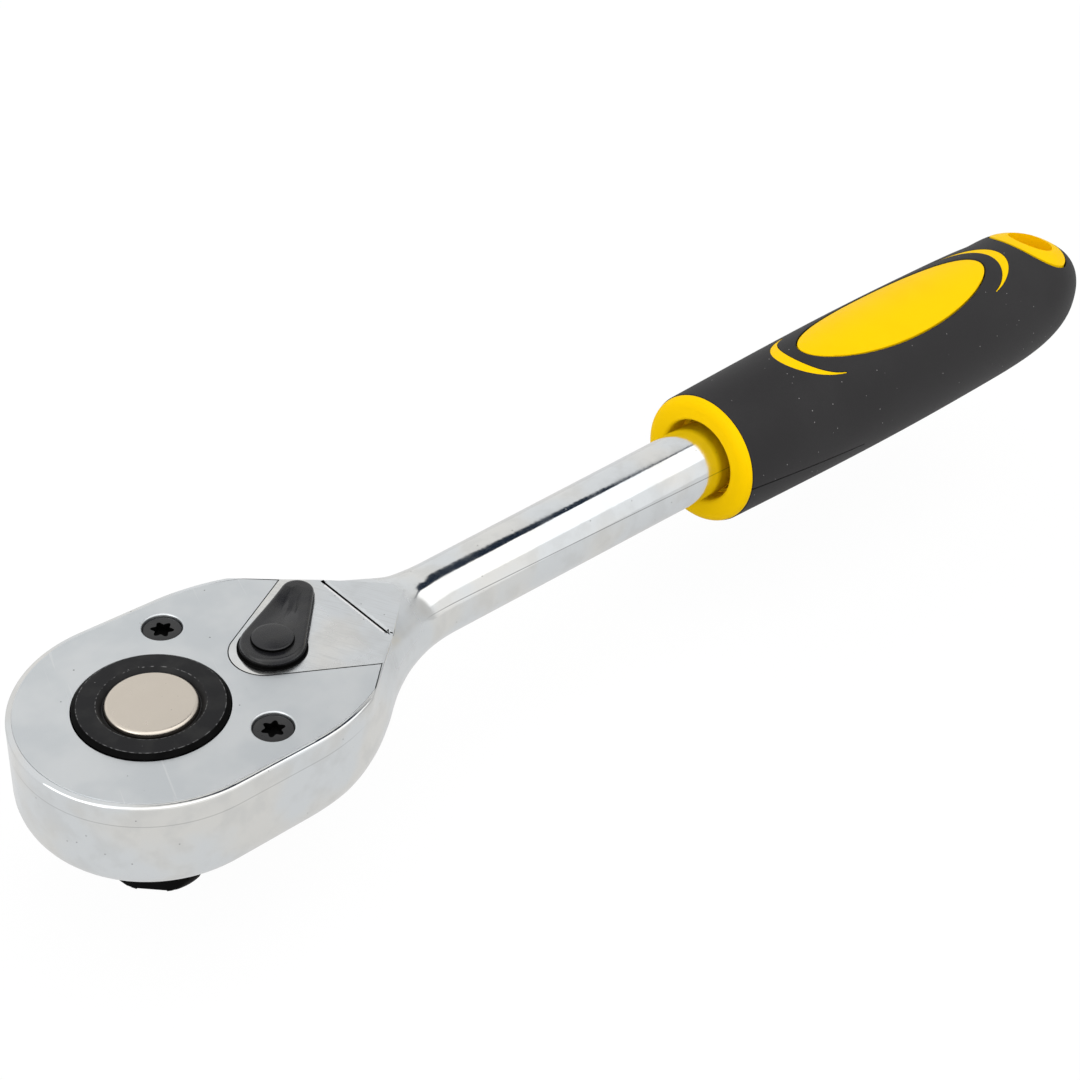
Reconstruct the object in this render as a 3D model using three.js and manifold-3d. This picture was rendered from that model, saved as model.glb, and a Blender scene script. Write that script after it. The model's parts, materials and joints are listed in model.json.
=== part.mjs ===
// Half-inch drive socket ratchet: pear-shaped head with a quick-release button and a reversing
// lever, a round shank that rises a little from the head, and a plastic handle in a rubber grip.
// Millimetres, +Z up. The origin is the centre of the square drive's end face, the drive axis is
// the Z axis and the handle points along +X.
import * as THREE from 'three';
import { mergeVertices } from 'three/addons/utils/BufferGeometryUtils.js';
import loadManifold from 'manifold-3d';

const wasm = await loadManifold();
wasm.setup();
const degrees = THREE.MathUtils.degToRad;

// Square drive
const DRIVE_SQUARE = 12.7;
const DRIVE_CORNER_RADIUS = 8.2;
const DRIVE_LENGTH = 13.2;
const DRIVE_CHAMFER = 1.2;
const DRIVE_TURN = degrees(45);

// Head, seen from above: a round nose, straight sides, then a taper to the neck
const HEAD_THICKNESS = 16.4;
const HEAD_HALF_WIDTH = 19.6;
const HEAD_NOSE_X = 0.6;
const HEAD_SIDE_END_X = 13;
const HEAD_TAPER_RADIUS = 31;
const HEAD_REAR_X = 36;
const HEAD_REAR_PULL = 1.6;
const HEAD_TOP_CHAMFER = 0.5;
const HEAD_EDGE_WIDTH = 4.2;
const HEAD_EDGE_HEIGHT = 5;
const HEAD_FLOOR = 3;

// Shank and neck, along the shank's own axis from the drive axis
const SHANK_DEPTH = 7.52;
const SHANK_RISE = degrees(1.78);
const SHANK_NECK_RADIUS = 6.02;
const SHANK_HANDLE_RADIUS = 6.66;
const NECK_START = 34;
const NECK_END = 50;
const NECK_HALF_WIDTH = 10;
const NECK_UPPER_HEIGHT = 11;
const NECK_LOWER_HEIGHT = 8.8;
const GROOVE_X = 35.3;
const GROOVE_HALF_LENGTH = 7.8;
const GROOVE_WIDTH = 0.8;
const GROOVE_DEPTH = 0.5;
const TAIL_RADIUS = 5.8;
const TAIL_FLAT = 4.9;
const TAIL_START = 128;
const TAIL_END = 196;

// Cover plate and its screws
const PLATE_THICKNESS = 2.6;
const PLATE_RIM = 0.85;
const PLATE_SEAM = 0.15;
const NOTCH_RADIUS = 5.36;
const NOTCH_X = 18.9;
const NOTCH_HALF_ANGLE = degrees(28.6);
const SCREW_X = 10.4;
const SCREW_INSET = 6.3;
const SCREW_RADIUS = 1.6;
const SCREW_LENGTH = 6;
const SCREW_HEAD_RADIUS = 2.6;
const SCREW_HEAD_HEIGHT = 1.4;
const SCREW_HEAD_SUNK = 0.25;
const SCREW_LOBES = 6;
const SCREW_SOCKET_RADIUS = 1.4;
const SCREW_SOCKET_DEPTH = 0.8;

// Drive gear, washer and seal
const GEAR_TIP_RADIUS = 12.4;
const GEAR_TEETH = 48;
const TOOTH_DEPTH = 1;
const TOOTH_LAND = 0.08;
const HUB_RADIUS = 10.6;
const HUB_PROUD = 0.45;
const HUB_BEVEL = 0.5;
const JOURNAL_RADIUS = 9.9;
const JOURNAL_PROUD = 0.3;
const WASHER_THICKNESS = 0.5;
const SEAL_THICKNESS = 0.8;

// Quick release: button, push pin, spring and the ball that holds a socket
const BUTTON_RADIUS = 6.1;
const BUTTON_PROUD = 0.8;
const BUTTON_HEIGHT = 2.8;
const BUTTON_EDGE = 0.35;
const BUTTON_SOCKET_DEPTH = 1.6;
const RELEASE_TRAVEL = 2.5;
const RELEASE_SPRING_LENGTH = 5;
const RELEASE_SPRING_RADIUS = 4;
const RELEASE_SPRING_WIRE = 0.35;
const RELEASE_SPRING_TURNS = 4;
const PIN_RADIUS = 2.4;
const PIN_TAIL = 0.8;
const BALL_RADIUS = 2.6;
const BALL_Z = 6.8;
const BALL_TRAVEL = 1.15;
const BALL_LIP = 0.5;
const BALL_LIP_RADIUS = 2.45;

// Reversing lever on its spindle
const LEVER_PIVOT_X = 20.1;
const LEVER_ANGLE = degrees(36);
const LEVER_WIDE_RADIUS = 4.9;
const LEVER_TIP_RADIUS = 2.6;
const LEVER_TIP_X = 12;
const LEVER_THICKNESS = 1.3;
const LEVER_BEVEL = 0.3;
const LEVER_RIDGE_HEIGHT = 0.5;
const LEVER_LIFT = 0.2;
const LEVER_HEAD_RADIUS = 3.05;
const LEVER_HEAD_HEIGHT = 0.75;
const SPINDLE_RADIUS = 2.5;
const SPINDLE_COLLAR_RADIUS = 2.9;
const SPINDLE_NECK_RADIUS = 2;
const SPINDLE_FOOT_RADIUS = 1.5;
const SPINDLE_FOOT_DEPTH = 1.4;
const TONGUE_THICKNESS = 4;
const O_RING_WIRE = 0.4;
const CLIP_RADIUS = 3.6;
const CLIP_THICKNESS = 0.5;
const CLIP_OPENING = degrees(70);

// Pawl, its pin, and the spring plunger in the spindle
const PAWL_PIVOT_OFFSET = 2.6;
const PAWL_PIN_RADIUS = 0.9;
const PAWL_PIN_SEAT = 1.2;
const PAWL_BACK_WALL = 0.6;
const PAWL_ROCK = degrees(4.5);
const PAWL_REACH = degrees(38);
const PAWL_RELIEF_ANGLE = degrees(16);
const PAWL_RELIEF = 0.6;
const PAWL_ARM = 3.6;
const PAWL_EAR = 5.5;
const PAWL_EAR_ANGLE = degrees(12);
const PAWL_ROOM = 0.7;
const POCKET_ANGLE = degrees(43);
const PLUNGER_RADIUS = 1;
const PLUNGER_LENGTH = 2.6;
const PLUNGER_SPRING_LENGTH = 2;
const PLUNGER_SPRING_WIRE = 0.15;
const PLUNGER_SPRING_TURNS = 3;

// Handle, along the shank's axis: front collar, belly, then a rounded end
const COLLAR_FRONT = 112.9;
const COLLAR_ROUND = 1.4;
const COLLAR_RECESS_RADIUS = 7.7;
const COLLAR_RECESS_DEPTH = 4.5;
const GRIP_FRONT = 114.4;
const HANDLE_FRONT_RADIUS = 12.1;
const HANDLE_BELLY_RADIUS = 13.75;
const HANDLE_BELLY_X = 182;
const HANDLE_END = 231;
const HANDLE_END_POWER = 4.5;
const HANDLE_END_ROOT = 2.3;
const GRIP_WALL = 2.2;
const INSET_DEPTH = 0.15;

// Yellow insets, seen from above
const OVAL_X = 168.7;
const OVAL_HALF_LENGTH = 28.6;
const OVAL_HALF_WIDTH = 7.75;
const CRESCENT_TIP_X = 25;
const CRESCENT_TIP_Y = 7;
const CRESCENT_TIP_WIDTH = 0.3;
const CRESCENT_OUTER_X = 35.4;
const CRESCENT_INNER_X = 33.1;
const HANG_X = 218.3;
const HANG_RIM_LENGTH = 6.2;
const HANG_RIM_WIDTH = 8.4;
const HANG_HOLE_LENGTH = 3.4;
const HANG_HOLE_WIDTH = 4.2;
const HANG_FLARE = 1.32;

// Fits between pieces
const RUNNING_GAP = 0.05;
const TURNING_GAP = 0.12;
const SLIDING_GAP = 0.1;
const MOULDED_GAP = 0.3;
const GEAR_BORE_GAP = 0.4;
const MESH_GAP = 0.22;
const NOSE_GAP = 0.2;

// How finely round shapes are cut
const SIDES = 36;
const FINE_SIDES = 48;
const SMALL_SIDES = 18;
const REACH = 400;

// Levels up the drive axis
const HEAD_BOTTOM = DRIVE_LENGTH;
const HEAD_TOP = HEAD_BOTTOM + HEAD_THICKNESS;
const CAVITY_FLOOR = HEAD_BOTTOM + HEAD_FLOOR;
const PLATE_UNDER = HEAD_TOP - PLATE_THICKNESS;
const POCKET_CEILING = HEAD_TOP - TONGUE_THICKNESS;
const GEAR_LOW = CAVITY_FLOOR + WASHER_THICKNESS + 2 * RUNNING_GAP;
const GEAR_HIGH = PLATE_UNDER - SEAL_THICKNESS - 2 * RUNNING_GAP;
const HUB_TOP = HEAD_TOP + HUB_PROUD;
const BUTTON_TOP = HEAD_TOP + BUTTON_PROUD;
const BUTTON_UNDER = BUTTON_TOP - BUTTON_HEIGHT;
const SPRING_SEAT = BUTTON_UNDER - RELEASE_SPRING_LENGTH - 2 * RUNNING_GAP;
const LEVER_LOW = HEAD_TOP + LEVER_LIFT;
const LEVER_HIGH = LEVER_LOW + LEVER_THICKNESS;
const CLIP_HIGH = POCKET_CEILING - SLIDING_GAP;
const CLIP_LOW = CLIP_HIGH - CLIP_THICKNESS;
const PAWL_LOW = CAVITY_FLOOR + SLIDING_GAP;
const PAWL_HIGH = CLIP_LOW - SLIDING_GAP;
const PLUNGER_Z = (PAWL_LOW + PAWL_HIGH) / 2;
const O_RING_Z = (POCKET_CEILING + HEAD_TOP) / 2;

// Places worked out from the sizes
const SCREW_Y = HEAD_HALF_WIDTH - SCREW_INSET;
const BUTTON_BORE_RADIUS = BUTTON_RADIUS + SLIDING_GAP;
const PAWL_PIVOT_X = GEAR_TIP_RADIUS + PAWL_PIVOT_OFFSET;
const PAWL_INNER_RADIUS = GEAR_TIP_RADIUS + RUNNING_GAP;
const PAWL_ARM_RADIUS = PAWL_INNER_RADIUS + PAWL_ARM;
const PAWL_EAR_RADIUS = PAWL_INNER_RADIUS + PAWL_EAR;
const PAWL_BACK_X = PAWL_PIVOT_X + PAWL_PIN_RADIUS + RUNNING_GAP + PAWL_BACK_WALL;
const PAWL_SADDLE_RADIUS = LEVER_PIVOT_X - PAWL_BACK_X;
const PLUNGER_REACH = PAWL_SADDLE_RADIUS - NOSE_GAP;
const PLUNGER_BACK = PLUNGER_LENGTH - PLUNGER_REACH;
const PLUNGER_SPRING_END = PLUNGER_BACK + RUNNING_GAP + PLUNGER_SPRING_LENGTH;
const O_RING_SEAT = SPINDLE_COLLAR_RADIUS - 2 * O_RING_WIRE;
const shankFrame = new THREE.Matrix4()
  .makeRotationY(-SHANK_RISE)
  .setPosition(0, 0, HEAD_TOP - SHANK_DEPTH);

// The push pin's cone lets the ball in by a constant share of the button's travel
const CONE_SLOPE = BALL_TRAVEL / RELEASE_TRAVEL;
const CONE_NORMAL = Math.hypot(1, CONE_SLOPE);
const BALL_REACH = BALL_RADIUS + SLIDING_GAP;
const CONE_START = BALL_Z - (BALL_REACH * CONE_SLOPE) / CONE_NORMAL;
const CONE_END = BALL_Z + RELEASE_TRAVEL;
const PIN_NECK_RADIUS = PIN_RADIUS - CONE_SLOPE * (CONE_END - CONE_START);
const PIN_SHOULDER = CONE_END + BALL_RADIUS;
const PIN_BOTTOM = CONE_START - PIN_TAIL;
const BALL_OUT = PIN_RADIUS + BALL_REACH / CONE_NORMAL;

const chrome = new THREE.MeshStandardMaterial({ color: 0xc9cccf, roughness: 0.18, metalness: 1 });
const satinChrome = new THREE.MeshStandardMaterial({ color: 0xbfc5c8, roughness: 0.35, metalness: 1 });
const blackSteel = new THREE.MeshStandardMaterial({ color: 0x1b1b1d, roughness: 0.4, metalness: 0.8 });
const nickel = new THREE.MeshStandardMaterial({ color: 0xcfc9bb, roughness: 0.3, metalness: 1 });
const steel = new THREE.MeshStandardMaterial({ color: 0x9a9da1, roughness: 0.3, metalness: 1 });
const seal = new THREE.MeshStandardMaterial({ color: 0x202020, roughness: 0.7, metalness: 0 });
const yellow = new THREE.MeshStandardMaterial({ color: 0xffd400, roughness: 0.45, metalness: 0 });
const rubber = new THREE.MeshStandardMaterial({ color: 0x39373a, roughness: 0.75, metalness: 0 });

// A geometry as a solid: shared corners are merged, flat slivers dropped and the faces turned out.
function toSolid(geometry) {
  const bare = geometry.clone();
  bare.deleteAttribute('normal');
  bare.deleteAttribute('uv');
  const merged = mergeVertices(bare, 1e-4);
  const position = merged.attributes.position;
  const corners = [0, 1, 2].map(() => new THREE.Vector3());
  const triangles = [];
  let volume = 0;
  for (let i = 0; i < merged.index.count; i += 3) {
    const triangle = [0, 1, 2].map((k) => merged.index.getX(i + k));
    if (new Set(triangle).size === 3) {
      triangle.forEach((index, k) => corners[k].fromBufferAttribute(position, index));
      volume += corners[0].dot(corners[1].cross(corners[2]));
      triangles.push(triangle);
    }
  }
  const facingOut = volume < 0 ? triangles.map(([a, b, c]) => [a, c, b]) : triangles;
  return new wasm.Manifold(new wasm.Mesh({
    numProp: 3,
    vertProperties: Float32Array.from(position.array),
    triVerts: Uint32Array.from(facingOut.flat()),
  }));
}

function toGeometry(solid) {
  const mesh = solid.getMesh();
  const geometry = new THREE.BufferGeometry();
  geometry.setAttribute('position', new THREE.BufferAttribute(Float32Array.from(mesh.vertProperties), 3));
  geometry.setIndex(new THREE.BufferAttribute(Uint32Array.from(mesh.triVerts), 1));
  return geometry;
}

const join = (...shapes) => toGeometry(shapes.map(toSolid).reduce((whole, next) => whole.add(next)));
const cut = (shape, ...tools) =>
  toGeometry(tools.map(toSolid).reduce((left, tool) => left.subtract(tool), toSolid(shape)));
const common = (shape, other) => toGeometry(toSolid(shape).intersect(toSolid(other)));

function piece(name, geometry, material) {
  const shown = toGeometry(toSolid(geometry));
  shown.computeVertexNormals();
  const mesh = new THREE.Mesh(shown, material);
  mesh.name = name;
  return mesh;
}

// Round and straight stock
const points = (pairs) => pairs.map(([x, y]) => new THREE.Vector2(x, y));
const turned = (profile, sides = SIDES) => new THREE.LatheGeometry(points(profile), sides).rotateX(Math.PI / 2);
const turnedAlongX = (profile, sides = SIDES) =>
  new THREE.LatheGeometry(points(profile), sides).rotateZ(-Math.PI / 2);
const rod = (radius, low, high, sides = SIDES) => turned([[0, low], [radius, low], [radius, high], [0, high]], sides);
const rodAlongX = (radius, low, high, sides = SIDES) =>
  turnedAlongX([[0, low], [radius, low], [radius, high], [0, high]], sides);
const ring = (inner, outer, low, high) =>
  turned([[inner, low], [outer, low], [outer, high], [inner, high], [inner, low]], FINE_SIDES);
const block = (low, high) => {
  const size = high.map((value, axis) => value - low[axis]);
  const middle = high.map((value, axis) => (value + low[axis]) / 2);
  return new THREE.BoxGeometry(...size).translate(...middle);
};
const prism = (shape, low, high, curveSegments = SMALL_SIDES) =>
  new THREE.ExtrudeGeometry(shape, { depth: high - low, bevelEnabled: false, curveSegments }).translate(0, 0, low);

// A skin over closed rings of equally many points, with a flat cap on the first and last ring.
function loft(rings) {
  const count = rings[0].length;
  const index = [];
  for (let level = 0; level < rings.length - 1; level += 1) {
    for (let i = 0; i < count; i += 1) {
      const a = level * count + i;
      const b = level * count + ((i + 1) % count);
      index.push(a, b, b + count, a, b + count, a + count);
    }
  }
  const cap = (ringPoints, start, flip) => {
    const normal = new THREE.Vector3().subVectors(rings[1][0], rings[0][0]);
    const flat = Math.abs(normal.x) > Math.abs(normal.z)
      ? ringPoints.map((p) => new THREE.Vector2(p.y, p.z))
      : ringPoints.map((p) => new THREE.Vector2(p.x, p.y));
    for (const [a, b, c] of THREE.ShapeUtils.triangulateShape(flat, [])) {
      index.push(start + a, start + (flip ? c : b), start + (flip ? b : c));
    }
  };
  cap(rings[0], 0, true);
  cap(rings[rings.length - 1], (rings.length - 1) * count, false);
  const geometry = new THREE.BufferGeometry();
  const flatList = rings.flat().flatMap((p) => [p.x, p.y, p.z]);
  geometry.setAttribute('position', new THREE.Float32BufferAttribute(flatList, 3));
  geometry.setIndex(index);
  return geometry;
}

class Helix extends THREE.Curve {
  constructor(radius, length, turns) {
    super();
    Object.assign(this, { radius, length, turns });
  }

  getPoint(t) {
    const angle = 2 * Math.PI * this.turns * t;
    return new THREE.Vector3(this.radius * Math.cos(angle), this.radius * Math.sin(angle), this.length * t);
  }
}

// A coil spring that stands on z = 0, with its ends inside the stated length.
function coil(radius, wire, length, turns) {
  const section = new THREE.Shape().absarc(0, 0, wire, 0, 2 * Math.PI, false);
  const path = new Helix(radius - wire, length - 2 * wire, turns);
  const options = { steps: turns * 8, curveSegments: 5, extrudePath: path };
  return new THREE.ExtrudeGeometry(section, options).translate(0, 0, wire);
}

// The head's outline, drawn in by an inset. The rear end draws in faster, into the neck.
function headOutline(inset) {
  const side = HEAD_HALF_WIDTH - inset;
  const taper = HEAD_TAPER_RADIUS - inset;
  const rear = HEAD_REAR_X - HEAD_REAR_PULL * inset;
  const turn = Math.asin((rear - HEAD_SIDE_END_X) / taper);
  const taperY = HEAD_TAPER_RADIUS - HEAD_HALF_WIDTH;
  const quarter = Math.PI / 2;
  return new THREE.Shape()
    .absarc(HEAD_NOSE_X, 0, side, quarter, 3 * quarter, false)
    .absarc(HEAD_SIDE_END_X, taperY, taper, -quarter, turn - quarter, false)
    .absarc(HEAD_SIDE_END_X, -taperY, taper, quarter - turn, quarter, false);
}

// The V-notch in the plate's rear edge, grown by a margin: a round apex and two straight sides.
function notchOutline(margin) {
  const radius = NOTCH_RADIUS + margin;
  const start = Math.PI / 2 + NOTCH_HALF_ANGLE;
  const far = HEAD_REAR_X + HEAD_HALF_WIDTH;
  const apexY = radius * Math.sin(start);
  const apexX = NOTCH_X + radius * Math.cos(start);
  const farY = apexY + (far - apexX) * Math.tan(NOTCH_HALF_ANGLE);
  return new THREE.Shape()
    .absarc(NOTCH_X, 0, radius, start, 2 * Math.PI - start, false)
    .lineTo(far, -farY)
    .lineTo(far, farY);
}

function headBlock() {
  const steps = 5;
  const rings = [];
  const level = (inset, z) => {
    rings.push(headOutline(inset).getPoints(SMALL_SIDES / 2).slice(0, -1).map((p) => new THREE.Vector3(p.x, p.y, z)));
  };
  for (let i = 0; i <= steps; i += 1) {
    const angle = (i / steps) * (Math.PI / 2);
    const inset = HEAD_EDGE_WIDTH * (1 - Math.sin(angle));
    level(inset, HEAD_BOTTOM + HEAD_EDGE_HEIGHT * (1 - Math.cos(angle)));
  }
  level(0, HEAD_TOP - HEAD_TOP_CHAMFER);
  level(HEAD_TOP_CHAMFER, HEAD_TOP);
  return loft(rings);
}

const shankRadius = (x) => {
  const share = (x - NECK_END) / (GRIP_FRONT - NECK_END);
  return THREE.MathUtils.lerp(SHANK_NECK_RADIUS, SHANK_HANDLE_RADIUS, share);
};

// The neck swells from the round shank to the head's rear, and its top is cut level with the head.
function neck() {
  const stations = 7;
  const inside = HEAD_SIDE_END_X + HEAD_HALF_WIDTH / 2;
  const buried = 0.99;
  const rings = [];
  for (let i = -1; i <= stations; i += 1) {
    const t = Math.max(i / stations, 0);
    const x = i < 0 ? inside : THREE.MathUtils.lerp(NECK_START, NECK_END, t);
    const round = shankRadius(NECK_END) * buried;
    const width = THREE.MathUtils.lerp(NECK_HALF_WIDTH, round, THREE.MathUtils.smoothstep(t, 0, 1));
    const upper = THREE.MathUtils.lerp(round, NECK_UPPER_HEIGHT, (1 - t) ** 2);
    const lower = THREE.MathUtils.lerp(round, NECK_LOWER_HEIGHT, (1 - t) ** 2);
    const section = [];
    for (let side = 0; side < SIDES; side += 1) {
      const angle = (2 * Math.PI * side) / SIDES;
      const height = Math.sin(angle) > 0 ? upper : lower;
      section.push(new THREE.Vector3(x, width * Math.cos(angle), height * Math.sin(angle)));
    }
    rings.push(section);
  }
  const flat = (SHANK_DEPTH - GROOVE_X * Math.tan(SHANK_RISE)) * Math.cos(SHANK_RISE);
  return common(loft(rings), block([-REACH, -REACH, -REACH], [REACH, REACH, flat]));
}

// The shank's flatted tail, grown by a gap for the bore that holds it.
const tail = (gap) => common(
  rodAlongX(TAIL_RADIUS + gap, TAIL_START - 1, TAIL_END + gap, SMALL_SIDES),
  block([0, -REACH, -TAIL_FLAT - gap], [REACH, REACH, TAIL_FLAT + gap]),
);

const shank = () => join(
  turnedAlongX([
    [0, NECK_START],
    [shankRadius(NECK_START), NECK_START],
    [SHANK_HANDLE_RADIUS, GRIP_FRONT],
    [SHANK_HANDLE_RADIUS, TAIL_START],
    [0, TAIL_START],
  ]),
  tail(0),
);

// The pawl's pocket behind the gear, with room for the spindle's clip.
function pocket() {
  const radius = PAWL_EAR_RADIUS + PAWL_ROOM;
  const sector = new THREE.Shape()
    .moveTo(0, 0)
    .lineTo(radius * Math.cos(POCKET_ANGLE), -radius * Math.sin(POCKET_ANGLE))
    .absarc(0, 0, radius, -POCKET_ANGLE, POCKET_ANGLE, false);
  const clipRoom = rod(CLIP_RADIUS + MOULDED_GAP, CAVITY_FLOOR, POCKET_CEILING);
  return join(prism(sector, CAVITY_FLOOR, POCKET_CEILING), clipRoom.translate(LEVER_PIVOT_X, 0, 0));
}

const screwPlaces = [SCREW_Y, -SCREW_Y].map((y) => new THREE.Vector3(SCREW_X, y, 0));

function ratchetBody() {
  const above = HEAD_TOP + 1;
  const recess = cut(
    prism(headOutline(PLATE_RIM - PLATE_SEAM), PLATE_UNDER, above),
    prism(notchOutline(-PLATE_SEAM), PLATE_UNDER - 1, above + 1),
  );
  const groove = block(
    [GROOVE_X - GROOVE_WIDTH / 2, -GROOVE_HALF_LENGTH, HEAD_TOP - GROOVE_DEPTH],
    [GROOVE_X + GROOVE_WIDTH / 2, GROOVE_HALF_LENGTH, above],
  );
  const pinLow = CAVITY_FLOOR - PAWL_PIN_SEAT - RUNNING_GAP;
  const pinHigh = POCKET_CEILING + PAWL_PIN_SEAT + RUNNING_GAP;
  const pinHole = rod(PAWL_PIN_RADIUS + RUNNING_GAP, pinLow, pinHigh, SMALL_SIDES);
  const footHole = rod(
    SPINDLE_FOOT_RADIUS + SLIDING_GAP, CAVITY_FLOOR - SPINDLE_FOOT_DEPTH - SLIDING_GAP, above, SMALL_SIDES);
  const spindleBore = rod(SPINDLE_COLLAR_RADIUS + SLIDING_GAP, POCKET_CEILING - 1, above);
  const screwHoles = screwPlaces.map((place) =>
    rod(SCREW_RADIUS + TURNING_GAP, PLATE_UNDER - SCREW_LENGTH - SLIDING_GAP, above, SMALL_SIDES)
      .translate(place.x, place.y, 0));
  const forging = join(headBlock(), neck().applyMatrix4(shankFrame), shank().applyMatrix4(shankFrame));
  return cut(
    forging,
    recess,
    groove,
    rod(GEAR_TIP_RADIUS + GEAR_BORE_GAP, CAVITY_FLOOR, above, FINE_SIDES),
    rod(JOURNAL_RADIUS + TURNING_GAP, HEAD_BOTTOM - 1, above, FINE_SIDES),
    pocket(),
    pinHole.translate(PAWL_PIVOT_X, 0, 0),
    footHole.translate(LEVER_PIVOT_X, 0, 0),
    spindleBore.translate(LEVER_PIVOT_X, 0, 0),
    ...screwHoles,
  );
}

function coverPlate() {
  const counterbore = HEAD_TOP - SCREW_HEAD_SUNK - SCREW_HEAD_HEIGHT - RUNNING_GAP;
  const holes = screwPlaces.flatMap((place) => [
    rod(SCREW_RADIUS + TURNING_GAP, PLATE_UNDER - 1, HEAD_TOP, SMALL_SIDES).translate(place.x, place.y, 0),
    rod(SCREW_HEAD_RADIUS + SLIDING_GAP, counterbore, HEAD_TOP + 1, SMALL_SIDES).translate(place.x, place.y, 0),
  ]);
  return cut(
    prism(headOutline(PLATE_RIM), PLATE_UNDER + RUNNING_GAP, HEAD_TOP),
    prism(notchOutline(0), PLATE_UNDER - 1, HEAD_TOP + 1),
    rod(HUB_RADIUS + TURNING_GAP, PLATE_UNDER - 1, HEAD_TOP + 1, FINE_SIDES),
    ...holes,
  );
}

// A flat-headed screw with a six-lobe socket, its head's top at z = 0.
function coverScrew() {
  const socket = new THREE.Shape();
  const waist = 0.72;
  const steps = SCREW_LOBES * 6;
  for (let i = 0; i < steps; i += 1) {
    const angle = (2 * Math.PI * i) / steps;
    const swell = (1 + waist) / 2 + ((1 - waist) / 2) * Math.cos(SCREW_LOBES * angle);
    const radius = SCREW_SOCKET_RADIUS * swell;
    socket[i === 0 ? 'moveTo' : 'lineTo'](radius * Math.cos(angle), radius * Math.sin(angle));
  }
  const shaftEnd = PLATE_UNDER - SCREW_LENGTH - (HEAD_TOP - SCREW_HEAD_SUNK);
  return cut(
    join(
      rod(SCREW_HEAD_RADIUS, -SCREW_HEAD_HEIGHT, 0, SMALL_SIDES),
      rod(SCREW_RADIUS, shaftEnd, -SCREW_HEAD_HEIGHT / 2, SMALL_SIDES),
    ),
    prism(socket, -SCREW_SOCKET_DEPTH, 1),
  );
}

// The gear's toothed outline, grown outwards by a gap for cutting the pawl's teeth.
function toothOutline(gap) {
  const pitch = (2 * Math.PI) / GEAR_TEETH;
  const tip = GEAR_TIP_RADIUS + gap;
  const root = tip - TOOTH_DEPTH;
  const corners = [[-TOOTH_LAND, tip], [TOOTH_LAND, tip], [0.5 - TOOTH_LAND, root], [0.5 + TOOTH_LAND, root]];
  const outline = [];
  for (let tooth = 0; tooth < GEAR_TEETH; tooth += 1) {
    for (const [share, radius] of corners) {
      const angle = (tooth + share) * pitch;
      outline.push([radius * Math.cos(angle), radius * Math.sin(angle)]);
    }
  }
  return new THREE.Shape(points(outline));
}

function driveGear() {
  const half = DRIVE_SQUARE / 2;
  const inHub = GEAR_HIGH - 1;
  const journalTop = GEAR_LOW + 1;
  const square = common(
    block([-half, -half, 0], [half, half, journalTop]),
    turned([
      [0, 0],
      [DRIVE_CORNER_RADIUS - DRIVE_CHAMFER, 0],
      [DRIVE_CORNER_RADIUS, DRIVE_CHAMFER],
      [DRIVE_CORNER_RADIUS, journalTop],
      [0, journalTop],
    ]),
  );
  const hub = turned([
    [0, inHub],
    [HUB_RADIUS, inHub],
    [HUB_RADIUS, HUB_TOP - HUB_BEVEL],
    [HUB_RADIUS - HUB_BEVEL, HUB_TOP],
    [0, HUB_TOP],
  ], FINE_SIDES);
  const pinBore = PIN_RADIUS + SLIDING_GAP;
  const pinBoreEnd = PIN_BOTTOM - RELEASE_TRAVEL - MOULDED_GAP;
  const bore = turned([
    [0, pinBoreEnd],
    [pinBore, pinBoreEnd],
    [pinBore, SPRING_SEAT],
    [BUTTON_BORE_RADIUS, SPRING_SEAT],
    [BUTTON_BORE_RADIUS, HUB_TOP - HUB_BEVEL],
    [BUTTON_BORE_RADIUS + 2 * HUB_BEVEL, HUB_TOP + HUB_BEVEL],
    [0, HUB_TOP + HUB_BEVEL],
  ]);
  const ballHole = join(
    rodAlongX(BALL_RADIUS + SLIDING_GAP, 0, half - BALL_LIP, SMALL_SIDES),
    rodAlongX(BALL_LIP_RADIUS, 0, DRIVE_SQUARE, SMALL_SIDES),
  );
  return cut(
    join(
      square.rotateZ(DRIVE_TURN),
      rod(JOURNAL_RADIUS, HEAD_BOTTOM - JOURNAL_PROUD, journalTop, FINE_SIDES),
      prism(toothOutline(0), GEAR_LOW, GEAR_HIGH),
      hub,
    ),
    bore,
    ballHole.translate(0, 0, BALL_Z).rotateZ(DRIVE_TURN),
  );
}

const releaseButton = () => cut(
  turned([
    [0, BUTTON_UNDER],
    [BUTTON_RADIUS, BUTTON_UNDER],
    [BUTTON_RADIUS, BUTTON_TOP - BUTTON_EDGE],
    [BUTTON_RADIUS - BUTTON_EDGE, BUTTON_TOP],
    [0, BUTTON_TOP],
  ]),
  rod(PIN_RADIUS + RUNNING_GAP, BUTTON_UNDER - 1, BUTTON_UNDER + BUTTON_SOCKET_DEPTH + RUNNING_GAP, SMALL_SIDES),
);

const releasePin = () => turned([
  [0, PIN_BOTTOM],
  [PIN_RADIUS, PIN_BOTTOM],
  [PIN_RADIUS, CONE_START],
  [PIN_NECK_RADIUS, CONE_END],
  [PIN_NECK_RADIUS, PIN_SHOULDER],
  [PIN_RADIUS, PIN_SHOULDER],
  [PIN_RADIUS, BUTTON_UNDER + BUTTON_SOCKET_DEPTH],
  [0, BUTTON_UNDER + BUTTON_SOCKET_DEPTH],
], SMALL_SIDES);

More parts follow.
